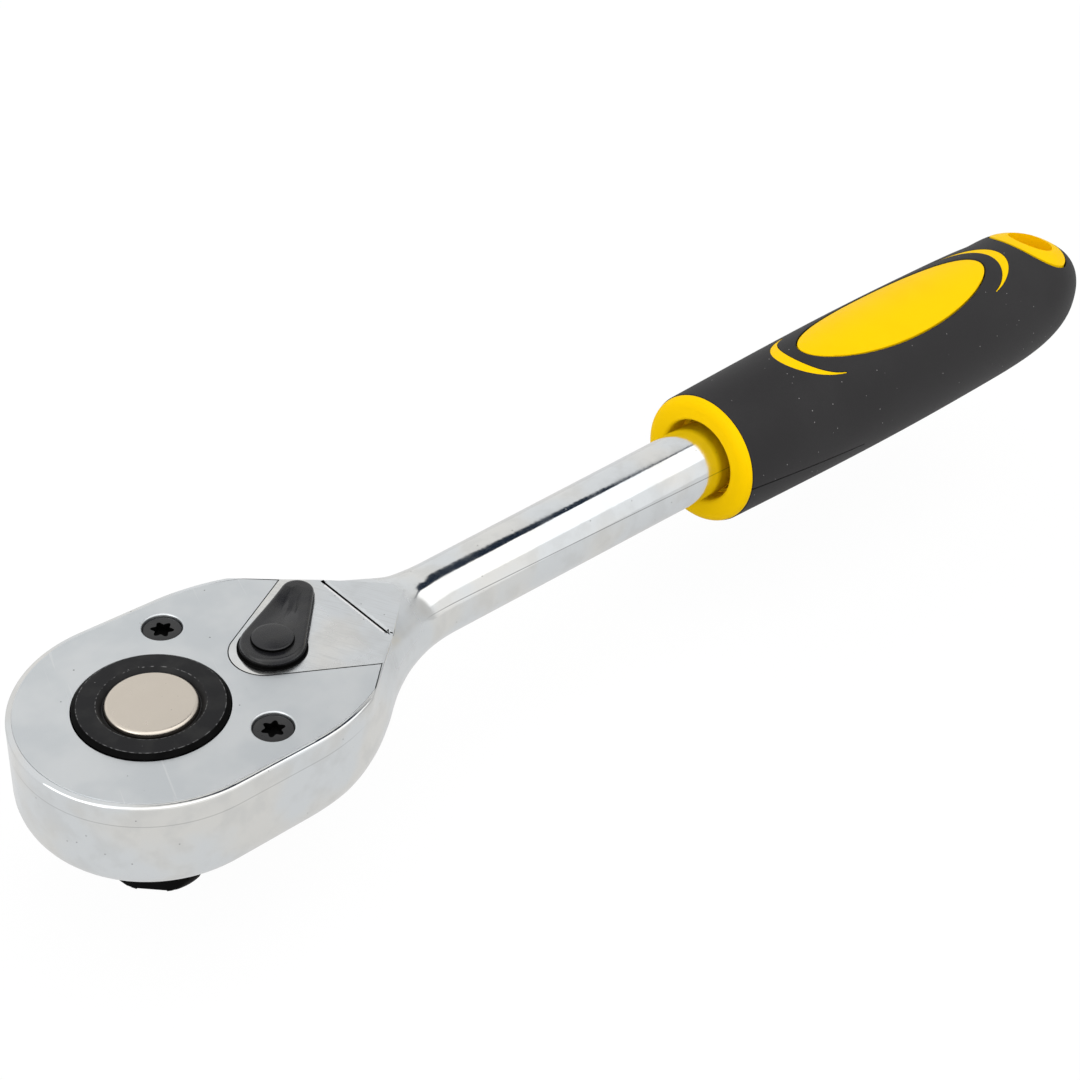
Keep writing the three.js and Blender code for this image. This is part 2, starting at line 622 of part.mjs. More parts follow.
// The pawl, drawn midway between its two ends of travel. Each end's teeth are then cut with the
// pawl rocked over to that side, so that they seat between the gear's teeth.
function pawl() {
  const outline = new THREE.Shape()
    .absarc(0, 0, PAWL_INNER_RADIUS, PAWL_REACH, PAWL_RELIEF_ANGLE, true)
    .absarc(0, 0, PAWL_INNER_RADIUS + PAWL_RELIEF, PAWL_RELIEF_ANGLE, -PAWL_RELIEF_ANGLE, true)
    .absarc(0, 0, PAWL_INNER_RADIUS, -PAWL_RELIEF_ANGLE, -PAWL_REACH, true)
    .absarc(0, 0, PAWL_ARM_RADIUS, -PAWL_REACH, -2 * PAWL_EAR_ANGLE, false)
    .absarc(0, 0, PAWL_EAR_RADIUS, -PAWL_EAR_ANGLE, PAWL_EAR_ANGLE, false)
    .absarc(0, 0, PAWL_ARM_RADIUS, 2 * PAWL_EAR_ANGLE, PAWL_REACH, false);
  const low = PAWL_LOW - 1;
  const high = PAWL_HIGH + 1;
  const saddle = rod(PAWL_SADDLE_RADIUS, low, high);
  const pinHole = rod(PAWL_PIN_RADIUS + RUNNING_GAP, low, high, SMALL_SIDES);
  const blank = cut(
    prism(outline, PAWL_LOW, PAWL_HIGH, SMALL_SIDES / 2),
    saddle.translate(LEVER_PIVOT_X, 0, 0),
    pinHole.translate(PAWL_PIVOT_X, 0, 0),
  );
  const teeth = prism(toothOutline(MESH_GAP), low, high);
  const rocked = (shape, angle) =>
    shape.translate(-PAWL_PIVOT_X, 0, 0).rotateZ(angle).translate(PAWL_PIVOT_X, 0, 0);
  const oneSide = cut(rocked(blank, PAWL_ROCK), teeth);
  return cut(rocked(oneSide, -2 * PAWL_ROCK), teeth);
}

// The lever points along +X from its pivot: a wide round end, straight sides and a raised tip.
function reverseLever() {
  const turn = Math.acos((LEVER_WIDE_RADIUS - LEVER_TIP_RADIUS) / LEVER_TIP_X);
  const outline = new THREE.Shape()
    .absarc(0, 0, LEVER_WIDE_RADIUS, turn, 2 * Math.PI - turn, false)
    .absarc(LEVER_TIP_X, 0, LEVER_TIP_RADIUS, -turn, turn, false);
  const plate = new THREE.ExtrudeGeometry(outline, {
    depth: LEVER_THICKNESS - 2 * LEVER_BEVEL,
    bevelThickness: LEVER_BEVEL,
    bevelSize: LEVER_BEVEL,
    bevelOffset: -LEVER_BEVEL,
    bevelSegments: 1,
    curveSegments: SMALL_SIDES / 2,
  }).translate(0, 0, LEVER_LOW + LEVER_BEVEL);
  const ridgeRadius = LEVER_TIP_RADIUS - LEVER_BEVEL;
  const ridge = turned([
    [0, LEVER_LOW + LEVER_THICKNESS / 2],
    [ridgeRadius, LEVER_LOW + LEVER_THICKNESS / 2],
    [ridgeRadius, LEVER_HIGH],
    [ridgeRadius / 2, LEVER_HIGH + LEVER_RIDGE_HEIGHT],
    [0, LEVER_HIGH + LEVER_RIDGE_HEIGHT],
  ], SMALL_SIDES);
  return cut(
    join(plate, ridge.translate(LEVER_TIP_X, 0, 0)),
    rod(SPINDLE_NECK_RADIUS + RUNNING_GAP, LEVER_LOW - 1, LEVER_HIGH + 1, SMALL_SIDES),
  );
}

function leverSpindle() {
  const foot = CAVITY_FLOOR - SPINDLE_FOOT_DEPTH;
  const seatHalf = O_RING_WIRE + RUNNING_GAP;
  const headLow = LEVER_HIGH + RUNNING_GAP;
  const profile = [
    [0, foot],
    [SPINDLE_FOOT_RADIUS, foot],
    [SPINDLE_FOOT_RADIUS, CAVITY_FLOOR + SLIDING_GAP],
    [SPINDLE_RADIUS, CAVITY_FLOOR + SLIDING_GAP],
    [SPINDLE_RADIUS, CLIP_LOW - RUNNING_GAP],
    [SPINDLE_NECK_RADIUS, CLIP_LOW - RUNNING_GAP],
    [SPINDLE_NECK_RADIUS, CLIP_HIGH + RUNNING_GAP],
    [SPINDLE_COLLAR_RADIUS, CLIP_HIGH + RUNNING_GAP],
    [SPINDLE_COLLAR_RADIUS, O_RING_Z - seatHalf],
    [O_RING_SEAT - RUNNING_GAP, O_RING_Z - seatHalf],
    [O_RING_SEAT - RUNNING_GAP, O_RING_Z + seatHalf],
    [SPINDLE_COLLAR_RADIUS, O_RING_Z + seatHalf],
    [SPINDLE_COLLAR_RADIUS, LEVER_LOW - RUNNING_GAP],
    [SPINDLE_NECK_RADIUS, LEVER_LOW - RUNNING_GAP],
    [SPINDLE_NECK_RADIUS, headLow],
    [LEVER_HEAD_RADIUS, headLow],
    [LEVER_HEAD_RADIUS, headLow + LEVER_HEAD_HEIGHT / 2],
    [LEVER_HEAD_RADIUS * 0.7, headLow + LEVER_HEAD_HEIGHT],
    [0, headLow + LEVER_HEAD_HEIGHT],
  ];
  const boreEnd = PLUNGER_SPRING_END + RUNNING_GAP;
  const bore = rodAlongX(PLUNGER_RADIUS + SLIDING_GAP, -2 * SPINDLE_RADIUS, boreEnd, SMALL_SIDES);
  return cut(turned(profile, SMALL_SIDES), bore.translate(0, 0, PLUNGER_Z));
}

// The plunger points along -X from the spindle's axis, with its spring behind it.
const pawlPlunger = () => turnedAlongX([
  [0, -PLUNGER_REACH],
  [PLUNGER_RADIUS * 0.5, 0.1 * PLUNGER_RADIUS - PLUNGER_REACH],
  [PLUNGER_RADIUS, 0.6 * PLUNGER_RADIUS - PLUNGER_REACH],
  [PLUNGER_RADIUS, PLUNGER_BACK],
  [0, PLUNGER_BACK],
], SMALL_SIDES).translate(0, 0, PLUNGER_Z);

const plungerSpring = () => coil(PLUNGER_RADIUS, PLUNGER_SPRING_WIRE, PLUNGER_SPRING_LENGTH, PLUNGER_SPRING_TURNS)
  .rotateY(Math.PI / 2)
  .translate(PLUNGER_BACK + RUNNING_GAP, 0, PLUNGER_Z);

function leverClip() {
  const inner = SPINDLE_NECK_RADIUS + RUNNING_GAP;
  const start = CLIP_OPENING / 2;
  const end = 2 * Math.PI - start;
  const outline = new THREE.Shape()
    .absarc(0, 0, CLIP_RADIUS, start, end, false)
    .absarc(0, 0, inner, end, start, true);
  return prism(outline, CLIP_LOW, CLIP_HIGH);
}

const leverORing = () =>
  new THREE.TorusGeometry(SPINDLE_COLLAR_RADIUS - O_RING_WIRE, O_RING_WIRE, 8, SMALL_SIDES).translate(0, 0, O_RING_Z);

// The handle's radius along its axis, drawn in by an inset, and the turned shape inside it.
function handleRadius(x, inset) {
  const belly = HANDLE_BELLY_RADIUS - inset;
  if (x <= HANDLE_BELLY_X) {
    const share = (x - GRIP_FRONT) / (HANDLE_BELLY_X - GRIP_FRONT);
    const front = HANDLE_FRONT_RADIUS - inset;
    return front + (belly - front) * Math.sin((Math.PI / 2) * Math.max(share, 0));
  }
  const share = (x - HANDLE_BELLY_X) / (HANDLE_END - inset - HANDLE_BELLY_X);
  return belly * Math.max(1 - share ** HANDLE_END_POWER, 0) ** (1 / HANDLE_END_ROOT);
}

function handleForm(inset, front) {
  const end = HANDLE_END - inset;
  const frontSteps = 4;
  const rearSteps = 8;
  const profile = [[0, front]];
  for (let i = 0; i <= frontSteps; i += 1) {
    const x = THREE.MathUtils.lerp(front, HANDLE_BELLY_X, i / frontSteps);
    profile.push([handleRadius(x, inset), x]);
  }
  for (let i = 1; i < rearSteps; i += 1) {
    const x = THREE.MathUtils.lerp(HANDLE_BELLY_X, end, Math.sin((Math.PI / 2) * (i / rearSteps)));
    profile.push([handleRadius(x, inset), x]);
  }
  profile.push([0, end]);
  return turnedAlongX(profile, SIDES);
}

const ellipse = (x, length, width) => new THREE.Shape().absellipse(x, 0, length, width, 0, 2 * Math.PI, false, 0);

// A crescent hugging one end of the oval, grown by a margin, with narrow square tips. Side -1 is
// the front one.
function crescent(side, margin) {
  const middle = (CRESCENT_OUTER_X + CRESCENT_INNER_X) / 2;
  const along = new THREE.Vector2(2 * (CRESCENT_TIP_X - middle), CRESCENT_TIP_Y).normalize();
  const half = CRESCENT_TIP_WIDTH / 2 + margin;
  const tip = new THREE.Vector2(CRESCENT_TIP_X, CRESCENT_TIP_Y).addScaledVector(along, margin);
  const across = new THREE.Vector2(along.y, -along.x);
  const outer = tip.clone().addScaledVector(across, half);
  const inner = tip.clone().addScaledVector(across, -half);
  const place = (x) => OVAL_X + side * x;
  return new THREE.Shape()
    .moveTo(place(outer.x), -outer.y)
    .quadraticCurveTo(place(2 * (CRESCENT_OUTER_X + margin) - outer.x), 0, place(outer.x), outer.y)
    .lineTo(place(inner.x), inner.y)
    .quadraticCurveTo(place(2 * (CRESCENT_INNER_X - margin) - inner.x), 0, place(inner.x), -inner.y);
}

// The yellow insets as upright columns. The hang hole's rim goes right through the handle.
const insetColumns = (margin) => [
  prism(ellipse(OVAL_X, OVAL_HALF_LENGTH + margin, OVAL_HALF_WIDTH + margin), TAIL_RADIUS, REACH, SMALL_SIDES),
  prism(crescent(-1, margin), TAIL_RADIUS, REACH, SMALL_SIDES / 3),
  prism(crescent(1, margin), TAIL_RADIUS, REACH, SMALL_SIDES / 3),
  prism(ellipse(HANG_X, HANG_RIM_LENGTH + margin, HANG_RIM_WIDTH + margin), -REACH, REACH, SMALL_SIDES / 2),
];

// The hang hole, flared towards both faces.
function hangHole() {
  const half = HANDLE_BELLY_RADIUS;
  const hole = turned([
    [0, -half],
    [HANG_FLARE, -half],
    [1, -half / 2],
    [1, half / 2],
    [HANG_FLARE, half],
    [0, half],
  ], SMALL_SIDES);
  return hole.scale(HANG_HOLE_LENGTH, HANG_HOLE_WIDTH, 1).translate(HANG_X, 0, 0);
}

function handleCore() {
  const under = GRIP_WALL + MOULDED_GAP;
  const collarRadius = HANDLE_FRONT_RADIUS - INSET_DEPTH;
  const collar = turnedAlongX([
    [0, COLLAR_FRONT],
    [COLLAR_RECESS_RADIUS + COLLAR_ROUND, COLLAR_FRONT],
    [collarRadius - COLLAR_ROUND / 2, COLLAR_FRONT + COLLAR_ROUND / 3],
    [collarRadius, GRIP_FRONT - SLIDING_GAP],
    [0, GRIP_FRONT - SLIDING_GAP],
  ]);
  const insets = join(...insetColumns(0));
  const bodyFront = GRIP_FRONT - MOULDED_GAP;
  const recessEnd = COLLAR_FRONT + COLLAR_RECESS_DEPTH;
  return cut(
    join(handleForm(under, bodyFront), collar, common(handleForm(INSET_DEPTH, bodyFront), insets)),
    rodAlongX(COLLAR_RECESS_RADIUS, COLLAR_FRONT - 1, recessEnd),
    rodAlongX(SHANK_HANDLE_RADIUS + MOULDED_GAP, COLLAR_FRONT, TAIL_START + MOULDED_GAP),
    tail(MOULDED_GAP),
    hangHole(),
  );
}

const rubberGrip = () => cut(
  handleForm(0, GRIP_FRONT),
  handleForm(GRIP_WALL, GRIP_FRONT - 1),
  ...insetColumns(MOULDED_GAP),
);

const ratchet = new THREE.Group();
ratchet.add(
  piece('ratchet_body', ratchetBody(), chrome),
  piece('cover_plate', coverPlate(), satinChrome),
  piece('drive_gear', driveGear(), blackSteel),
  piece('gear_washer', ring(
    JOURNAL_RADIUS + TURNING_GAP,
    GEAR_TIP_RADIUS - TOOTH_DEPTH,
    CAVITY_FLOOR + RUNNING_GAP,
    CAVITY_FLOOR + RUNNING_GAP + WASHER_THICKNESS,
  ), steel),
  piece('hub_seal', ring(
    HUB_RADIUS + RUNNING_GAP,
    GEAR_TIP_RADIUS - TOOTH_DEPTH,
    GEAR_HIGH + RUNNING_GAP,
    GEAR_HIGH + RUNNING_GAP + SEAL_THICKNESS,
  ), seal),
  piece('release_button', releaseButton(), nickel),
  piece('release_pin', releasePin(), steel),
  piece('pawl', pawl(), steel),
  piece('pawl_pin', rod(
    PAWL_PIN_RADIUS, CAVITY_FLOOR - PAWL_PIN_SEAT, POCKET_CEILING + PAWL_PIN_SEAT, SMALL_SIDES,
  ).translate(PAWL_PIVOT_X, 0, 0), steel),
);

screwPlaces.forEach((place, i) => {
  const screw = piece(['cover_screw_left', 'cover_screw_right'][i], coverScrew(), blackSteel);
  screw.position.set(place.x, place.y, HEAD_TOP - SCREW_HEAD_SUNK);
  ratchet.add(screw);
});

const releaseSpring = piece('release_spring', coil(
  RELEASE_SPRING_RADIUS, RELEASE_SPRING_WIRE, RELEASE_SPRING_LENGTH, RELEASE_SPRING_TURNS,
), steel);
releaseSpring.position.z = SPRING_SEAT + RUNNING_GAP;
ratchet.add(releaseSpring);

const ball = piece('socket_ball', new THREE.SphereGeometry(BALL_RADIUS, SMALL_SIDES, SMALL_SIDES / 2), steel);
ball.position.set(BALL_OUT * Math.cos(DRIVE_TURN), BALL_OUT * Math.sin(DRIVE_TURN), BALL_Z);
ratchet.add(ball);

const leverGroup = new THREE.Group();
leverGroup.position.x = LEVER_PIVOT_X;
leverGroup.rotation.z = LEVER_ANGLE;
leverGroup.add(
  piece('reverse_lever', reverseLever(), blackSteel),
  piece('lever_spindle', leverSpindle(), blackSteel),
  piece('lever_o_ring', leverORing(), seal),
  piece('lever_clip', leverClip(), steel),
  piece('pawl_plunger', pawlPlunger(), steel),
  piece('plunger_spring', plungerSpring(), steel),
);

const handleGroup = new THREE.Group();
handleGroup.applyMatrix4(shankFrame);
handleGroup.add(
  piece('handle_core', handleCore(), yellow),
  piece('rubber_grip', rubberGrip(), rubber),
);

ratchet.add(leverGroup, handleGroup);

export default ratchet;
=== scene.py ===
"""Looks of a half-inch drive socket ratchet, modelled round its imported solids.

The chromed forging, the cover plate with its screws, the drive with its release button, the
reversing lever and the two-material handle are each a class. Every piece is modelled in
millimetres, then placed in the part's own frame in metres.
"""

from __future__ import annotations

import json
import logging
import math
from dataclasses import dataclass
from enum import Enum
from typing import Callable, Sequence, Union

import bpy
from mathutils import Matrix, Vector

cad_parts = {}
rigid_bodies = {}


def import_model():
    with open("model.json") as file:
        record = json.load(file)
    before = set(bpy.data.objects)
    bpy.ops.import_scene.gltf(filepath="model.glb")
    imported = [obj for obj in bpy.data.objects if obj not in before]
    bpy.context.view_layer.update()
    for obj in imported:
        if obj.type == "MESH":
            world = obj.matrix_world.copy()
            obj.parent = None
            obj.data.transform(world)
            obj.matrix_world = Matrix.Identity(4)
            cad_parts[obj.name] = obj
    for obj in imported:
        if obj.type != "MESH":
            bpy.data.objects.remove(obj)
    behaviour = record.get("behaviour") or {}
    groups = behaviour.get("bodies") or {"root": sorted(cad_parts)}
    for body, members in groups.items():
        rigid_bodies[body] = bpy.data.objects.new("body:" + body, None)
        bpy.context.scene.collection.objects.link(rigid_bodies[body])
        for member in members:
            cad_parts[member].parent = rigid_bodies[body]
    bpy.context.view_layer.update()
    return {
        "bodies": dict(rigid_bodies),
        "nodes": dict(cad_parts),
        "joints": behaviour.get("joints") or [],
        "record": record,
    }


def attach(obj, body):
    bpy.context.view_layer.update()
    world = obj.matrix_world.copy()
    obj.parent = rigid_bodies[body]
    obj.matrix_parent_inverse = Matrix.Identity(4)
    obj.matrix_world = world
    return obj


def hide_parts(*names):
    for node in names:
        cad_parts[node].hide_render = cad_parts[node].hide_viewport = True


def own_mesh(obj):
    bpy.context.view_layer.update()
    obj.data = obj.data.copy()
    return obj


LOG = logging.getLogger("ratchet")
MM = 0.001
FULL_TURN = 2 * math.pi
QUARTER = math.pi / 2
WELD = 1e-3
SMOOTH_ANGLE = math.radians(32)
# A normal higher than the first belongs to a top, and one lower than the second to a wall.
FACING_UP, UPRIGHT = 0.9, 0.5
# How far a cutting tool reaches past what it cuts, in millimetres.
CLEAR = 1.0
# The left and the right of the part.
SIDES = (1, -1)
# Places of a Mix node's colour sockets.
MIX_FIRST, MIX_SECOND, MIX_RESULT = 6, 7, 2
# The full part of a speck, as a share of its radius.
SPECK_CORE = 0.6

Piece = bpy.types.Object
Pair = tuple[float, float]
Point = tuple[float, float, float]
Colour = tuple[float, float, float, float]
Chooser = Callable[[Vector, Vector], bool]


def lerp(low: float, high: float, share: float) -> float:
    """Returns the value a share of the way from low to high."""
    return low + (high - low) * share


def smooth(low: float, high: float, value: float) -> float:
    """Returns 0 below low, 1 above high and an even ease between them."""
    share = min(max((value - low) / (high - low), 0.0), 1.0)
    return share * share * (3 - 2 * share)


def spread(low: float, high: float, steps: int) -> list[float]:
    """Returns values in equal steps from low to high, both included."""
    return [lerp(low, high, i / steps) for i in range(steps + 1)]


def arc(centre: Pair, radius: float, start: float, end: float, steps: int) -> list[Pair]:
    """Returns points along a circle's arc, both ends included.

    Args:
        centre: The circle's centre.
        radius: Its radius.
        start: First angle, in radians.
        end: Last angle, in radians.
        steps: How many equal steps lie between them.

    Returns:
        The points, from start to end.
    """
    x, y = centre
    angles = spread(start, end, steps)
    return [(x + radius * math.cos(a), y + radius * math.sin(a)) for a in angles]


class Fit(Enum):
    """How a tool acts on a piece."""

    CUT = "DIFFERENCE"
    JOIN = "UNION"
    KEEP = "INTERSECT"


class Bench:
    """Blender's own modelling operators, each used on one piece."""

    @staticmethod
    def clear() -> None:
        """Leaves edit mode and deselects everything."""
        if bpy.context.mode != "OBJECT":
            bpy.ops.object.mode_set(mode="OBJECT")
        bpy.ops.object.select_all(action="DESELECT")

    @staticmethod
    def pick(piece: Piece) -> None:
        """Makes a piece the only one selected.

        Args:
            piece: The piece.
        """
        Bench.clear()
        piece.select_set(True)
        bpy.context.view_layer.objects.active = piece

    @staticmethod
    def edit(piece: Piece) -> None:
        """Opens a piece in edit mode with all of it selected.

        Args:
            piece: The piece.
        """
        Bench.pick(piece)
        bpy.ops.object.mode_set(mode="EDIT")
        bpy.ops.mesh.select_all(action="SELECT")

    @staticmethod
    def named(name: str) -> Piece:
        """Names the primitive that was just added.

        Args:
            name: The name for it and for its mesh.

        Returns:
            The primitive.
        """
        piece = bpy.context.active_object
        piece.name = name
        piece.data.name = name
        return piece

    @staticmethod
    def close(piece: Piece) -> Piece:
        """Welds doubled points and turns every face outwards.

        Args:
            piece: The piece.

        Returns:
            The piece.
        """
        Bench.edit(piece)
        bpy.ops.mesh.remove_doubles(threshold=WELD)
        bpy.ops.mesh.normals_make_consistent(inside=False)
        bpy.ops.object.mode_set(mode="OBJECT")
        return piece

    @staticmethod
    def line(name: str, points: Sequence[Point]) -> Piece:
        """Draws a run of edges: a plane is merged to a point, which is extruded on and on.

        Args:
            name: The piece's name.
            points: Where the run goes.

        Returns:
            The piece, in edit mode with all of it selected.
        """
        Bench.clear()
        bpy.ops.mesh.primitive_plane_add(size=1)
        piece = Bench.named(name)
        Bench.edit(piece)
        bpy.ops.mesh.merge(type="CENTER")
        bpy.ops.transform.translate(value=points[0])
        for start, end in zip(points, points[1:]):
            step = Vector(end) - Vector(start)
            bpy.ops.mesh.extrude_region_move(TRANSFORM_OT_translate={"value": step})
        bpy.ops.mesh.select_all(action="SELECT")
        bpy.ops.mesh.remove_doubles(threshold=WELD)
        return piece

    @staticmethod
    def turn(name: str, profile: Sequence[Pair], steps: int = 96) -> Piece:
        """Spins a profile of radius and height once round the Z axis.

        Args:
            name: The piece's name.
            profile: Pairs of radius and height. It starts and ends on the axis, or on itself.
            steps: How many faces go round.

        Returns:
            The closed piece.
        """
        piece = Bench.line(name, [(radius, 0.0, height) for radius, height in profile])
        bpy.ops.mesh.spin(steps=steps, angle=FULL_TURN, center=(0, 0, 0), axis=(0, 0, 1))
        return Bench.close(piece)

    @staticmethod
    def prism(name: str, outline: Sequence[Pair], low: float, high: float) -> Piece:
        """Fills an outline at one height and extrudes it to another.

        Args:
            name: The piece's name.
            outline: The outline's points, without the first one again at the end.
            low: Height of the first face.
            high: Height of the second.

        Returns:
            The closed piece.
        """
        ring = [(x, y, low) for x, y in outline]
        piece = Bench.line(name, [*ring, ring[0]])
        bpy.ops.mesh.edge_face_add()
        move = {"value": (0, 0, high - low)}
        bpy.ops.mesh.extrude_region_move(TRANSFORM_OT_translate=move)
        return Bench.close(piece)

    @staticmethod
    def pick_top(piece: Piece) -> None:
        """Opens a piece in edit mode with only its upward faces selected.

        Args:
            piece: The piece.
        """
        Bench.edit(piece)
        bpy.ops.mesh.select_mode(type="FACE")
        bpy.ops.mesh.select_all(action="DESELECT")
        bpy.ops.object.mode_set(mode="OBJECT")
        for face in piece.data.polygons:
            face.select = face.normal.z > FACING_UP
        bpy.ops.object.mode_set(mode="EDIT")

    @staticmethod
    def rod(
        radius: float, low: float, high: float, centre: Pair = (0, 0), sides: int = 96
    ) -> Piece:
        """Adds an upright cylinder, used as a cutting tool.

        Args:
            radius: Its radius.
            low: Height of its foot.
            high: Height of its top.
            centre: Where it stands.
            sides: How many faces go round.

        Returns:
            The cylinder.
        """
        Bench.clear()
        middle = (centre[0], centre[1], (low + high) / 2)
        bpy.ops.mesh.primitive_cylinder_add(
            vertices=sides, radius=radius, depth=high - low, location=middle
        )
        piece = Bench.named("tool")
        bpy.ops.object.transform_apply(location=True, rotation=True, scale=True)
        return piece

    @staticmethod
    def slab(low: Point, high: Point, turn: Matrix = Matrix()) -> Piece:
        """Adds a block between two corners, used as a tool.

        Args:
            low: The lowest corner.
            high: The highest corner.
            turn: How it is turned about its own middle.

        Returns:
            The block.
        """
        Bench.clear()
        bpy.ops.mesh.primitive_cube_add(size=1)
        piece = Bench.named("tool")
        middle = (Vector(low) + Vector(high)) / 2
        size = Vector(high) - Vector(low)
        piece.matrix_world = Matrix.Translation(middle) @ turn @ Matrix.Diagonal((*size, 1))
        bpy.ops.object.transform_apply(location=True, rotation=True, scale=True)
        return piece

    @staticmethod
    def move(piece: Piece, frame: Matrix) -> Piece:
        """Moves a piece's mesh by a matrix.

        Args:
            piece: The piece.
            frame: The matrix.

        Returns:
            The piece.
        """
        Bench.pick(piece)
        piece.matrix_world = frame
        bpy.ops.object.transform_apply(location=True, rotation=True, scale=True)
        return piece

    @staticmethod
    def fit(piece: Piece, how: Fit, *tools: Piece) -> Piece:
        """Cuts, joins or keeps a piece with each tool in turn. The tools are used up.

        Args:
            piece: The piece that is worked on.
            how: What the tools do.
            tools: Closed pieces.

        Returns:
            The piece.
        """
        for tool in tools:
            Bench.pick(piece)
            modifier = piece.modifiers.new(how.name, "BOOLEAN")
            modifier.operation = how.value
            modifier.solver = "EXACT"
            modifier.object = tool
            bpy.ops.object.modifier_apply(modifier=modifier.name)
            bpy.data.objects.remove(tool)
        return piece

    @staticmethod
    def soften(piece: Piece, width: float, steps: int = 3, angle: float = 40) -> Piece:
        """Rounds a piece's sharp edges and returns it.

        Args:
            piece: The piece.
            width: How far the rounding reaches from the edge.
            steps: Faces across the rounding.
            angle: Edges that bend by more degrees than this are rounded.

        Returns:
            The piece.
        """
        Bench.pick(piece)
        modifier = piece.modifiers.new("soften", "BEVEL")
        modifier.width = width
        modifier.segments = steps
        modifier.limit_method = "ANGLE"
        modifier.angle_limit = math.radians(angle)
        modifier.use_clamp_overlap = False
        bpy.ops.object.modifier_apply(modifier=modifier.name)
        return piece

    @staticmethod
    def shape(piece: Piece, move: Callable[[Vector], Vector]) -> Piece:
        """Puts each point of a piece where a rule says.

        Args:
            piece: The piece.
            move: The rule, from a point to its new place.

        Returns:
            The piece.
        """
        Bench.clear()
        for vertex in piece.data.vertices:
            vertex.co = move(vertex.co)
        piece.data.update()
        return piece

    @staticmethod
    def settle(piece: Piece, frame: Matrix = Matrix()) -> Piece:
        """Places a finished piece in the part's frame, in metres, and smooths its shading.

        Args:
            piece: The piece, in millimetres.
            frame: Where its own frame lies in the part's, in millimetres.

        Returns:
            The piece.
        """
        Bench.move(piece, Matrix.Scale(MM, 4) @ frame)
        bpy.ops.object.shade_smooth_by_angle(angle=SMOOTH_ANGLE)
        modifier = piece.modifiers.new("normals", "WEIGHTED_NORMAL")
        modifier.keep_sharp = True
        bpy.ops.object.modifier_apply(modifier=modifier.name)
        return piece


class Value:
    """A shader socket that arithmetic can be written with. Each operation adds a Math node."""

    def __init__(self, shade: "Shade", socket: bpy.types.NodeSocket | None) -> None:
        """Wraps a socket of a shade's node tree, or none for a node that ends it."""
        self.shade = shade
        self.socket = socket

    def __add__(self, other: "Number") -> "Value":
        """Returns self + other."""
        return self.shade.math("ADD", self, other)

    def __mul__(self, other: "Number") -> "Value":
        """Returns self * other."""
        return self.shade.math("MULTIPLY", self, other)

    def __sub__(self, other: "Number") -> "Value":
        """Returns self - other."""
        return self.shade.math("SUBTRACT", self, other)

    def __rsub__(self, other: float) -> "Value":
        """Returns other - self."""
        return self.shade.math("SUBTRACT", other, self)

    def __abs__(self) -> "Value":
        """Returns the size of self without its sign."""
        return self.shade.math("ABSOLUTE", self, 0.0)

    __radd__ = __add__
    __rmul__ = __mul__


Number = Union[Value, float]
Input = Union[Value, float, Point, Colour]


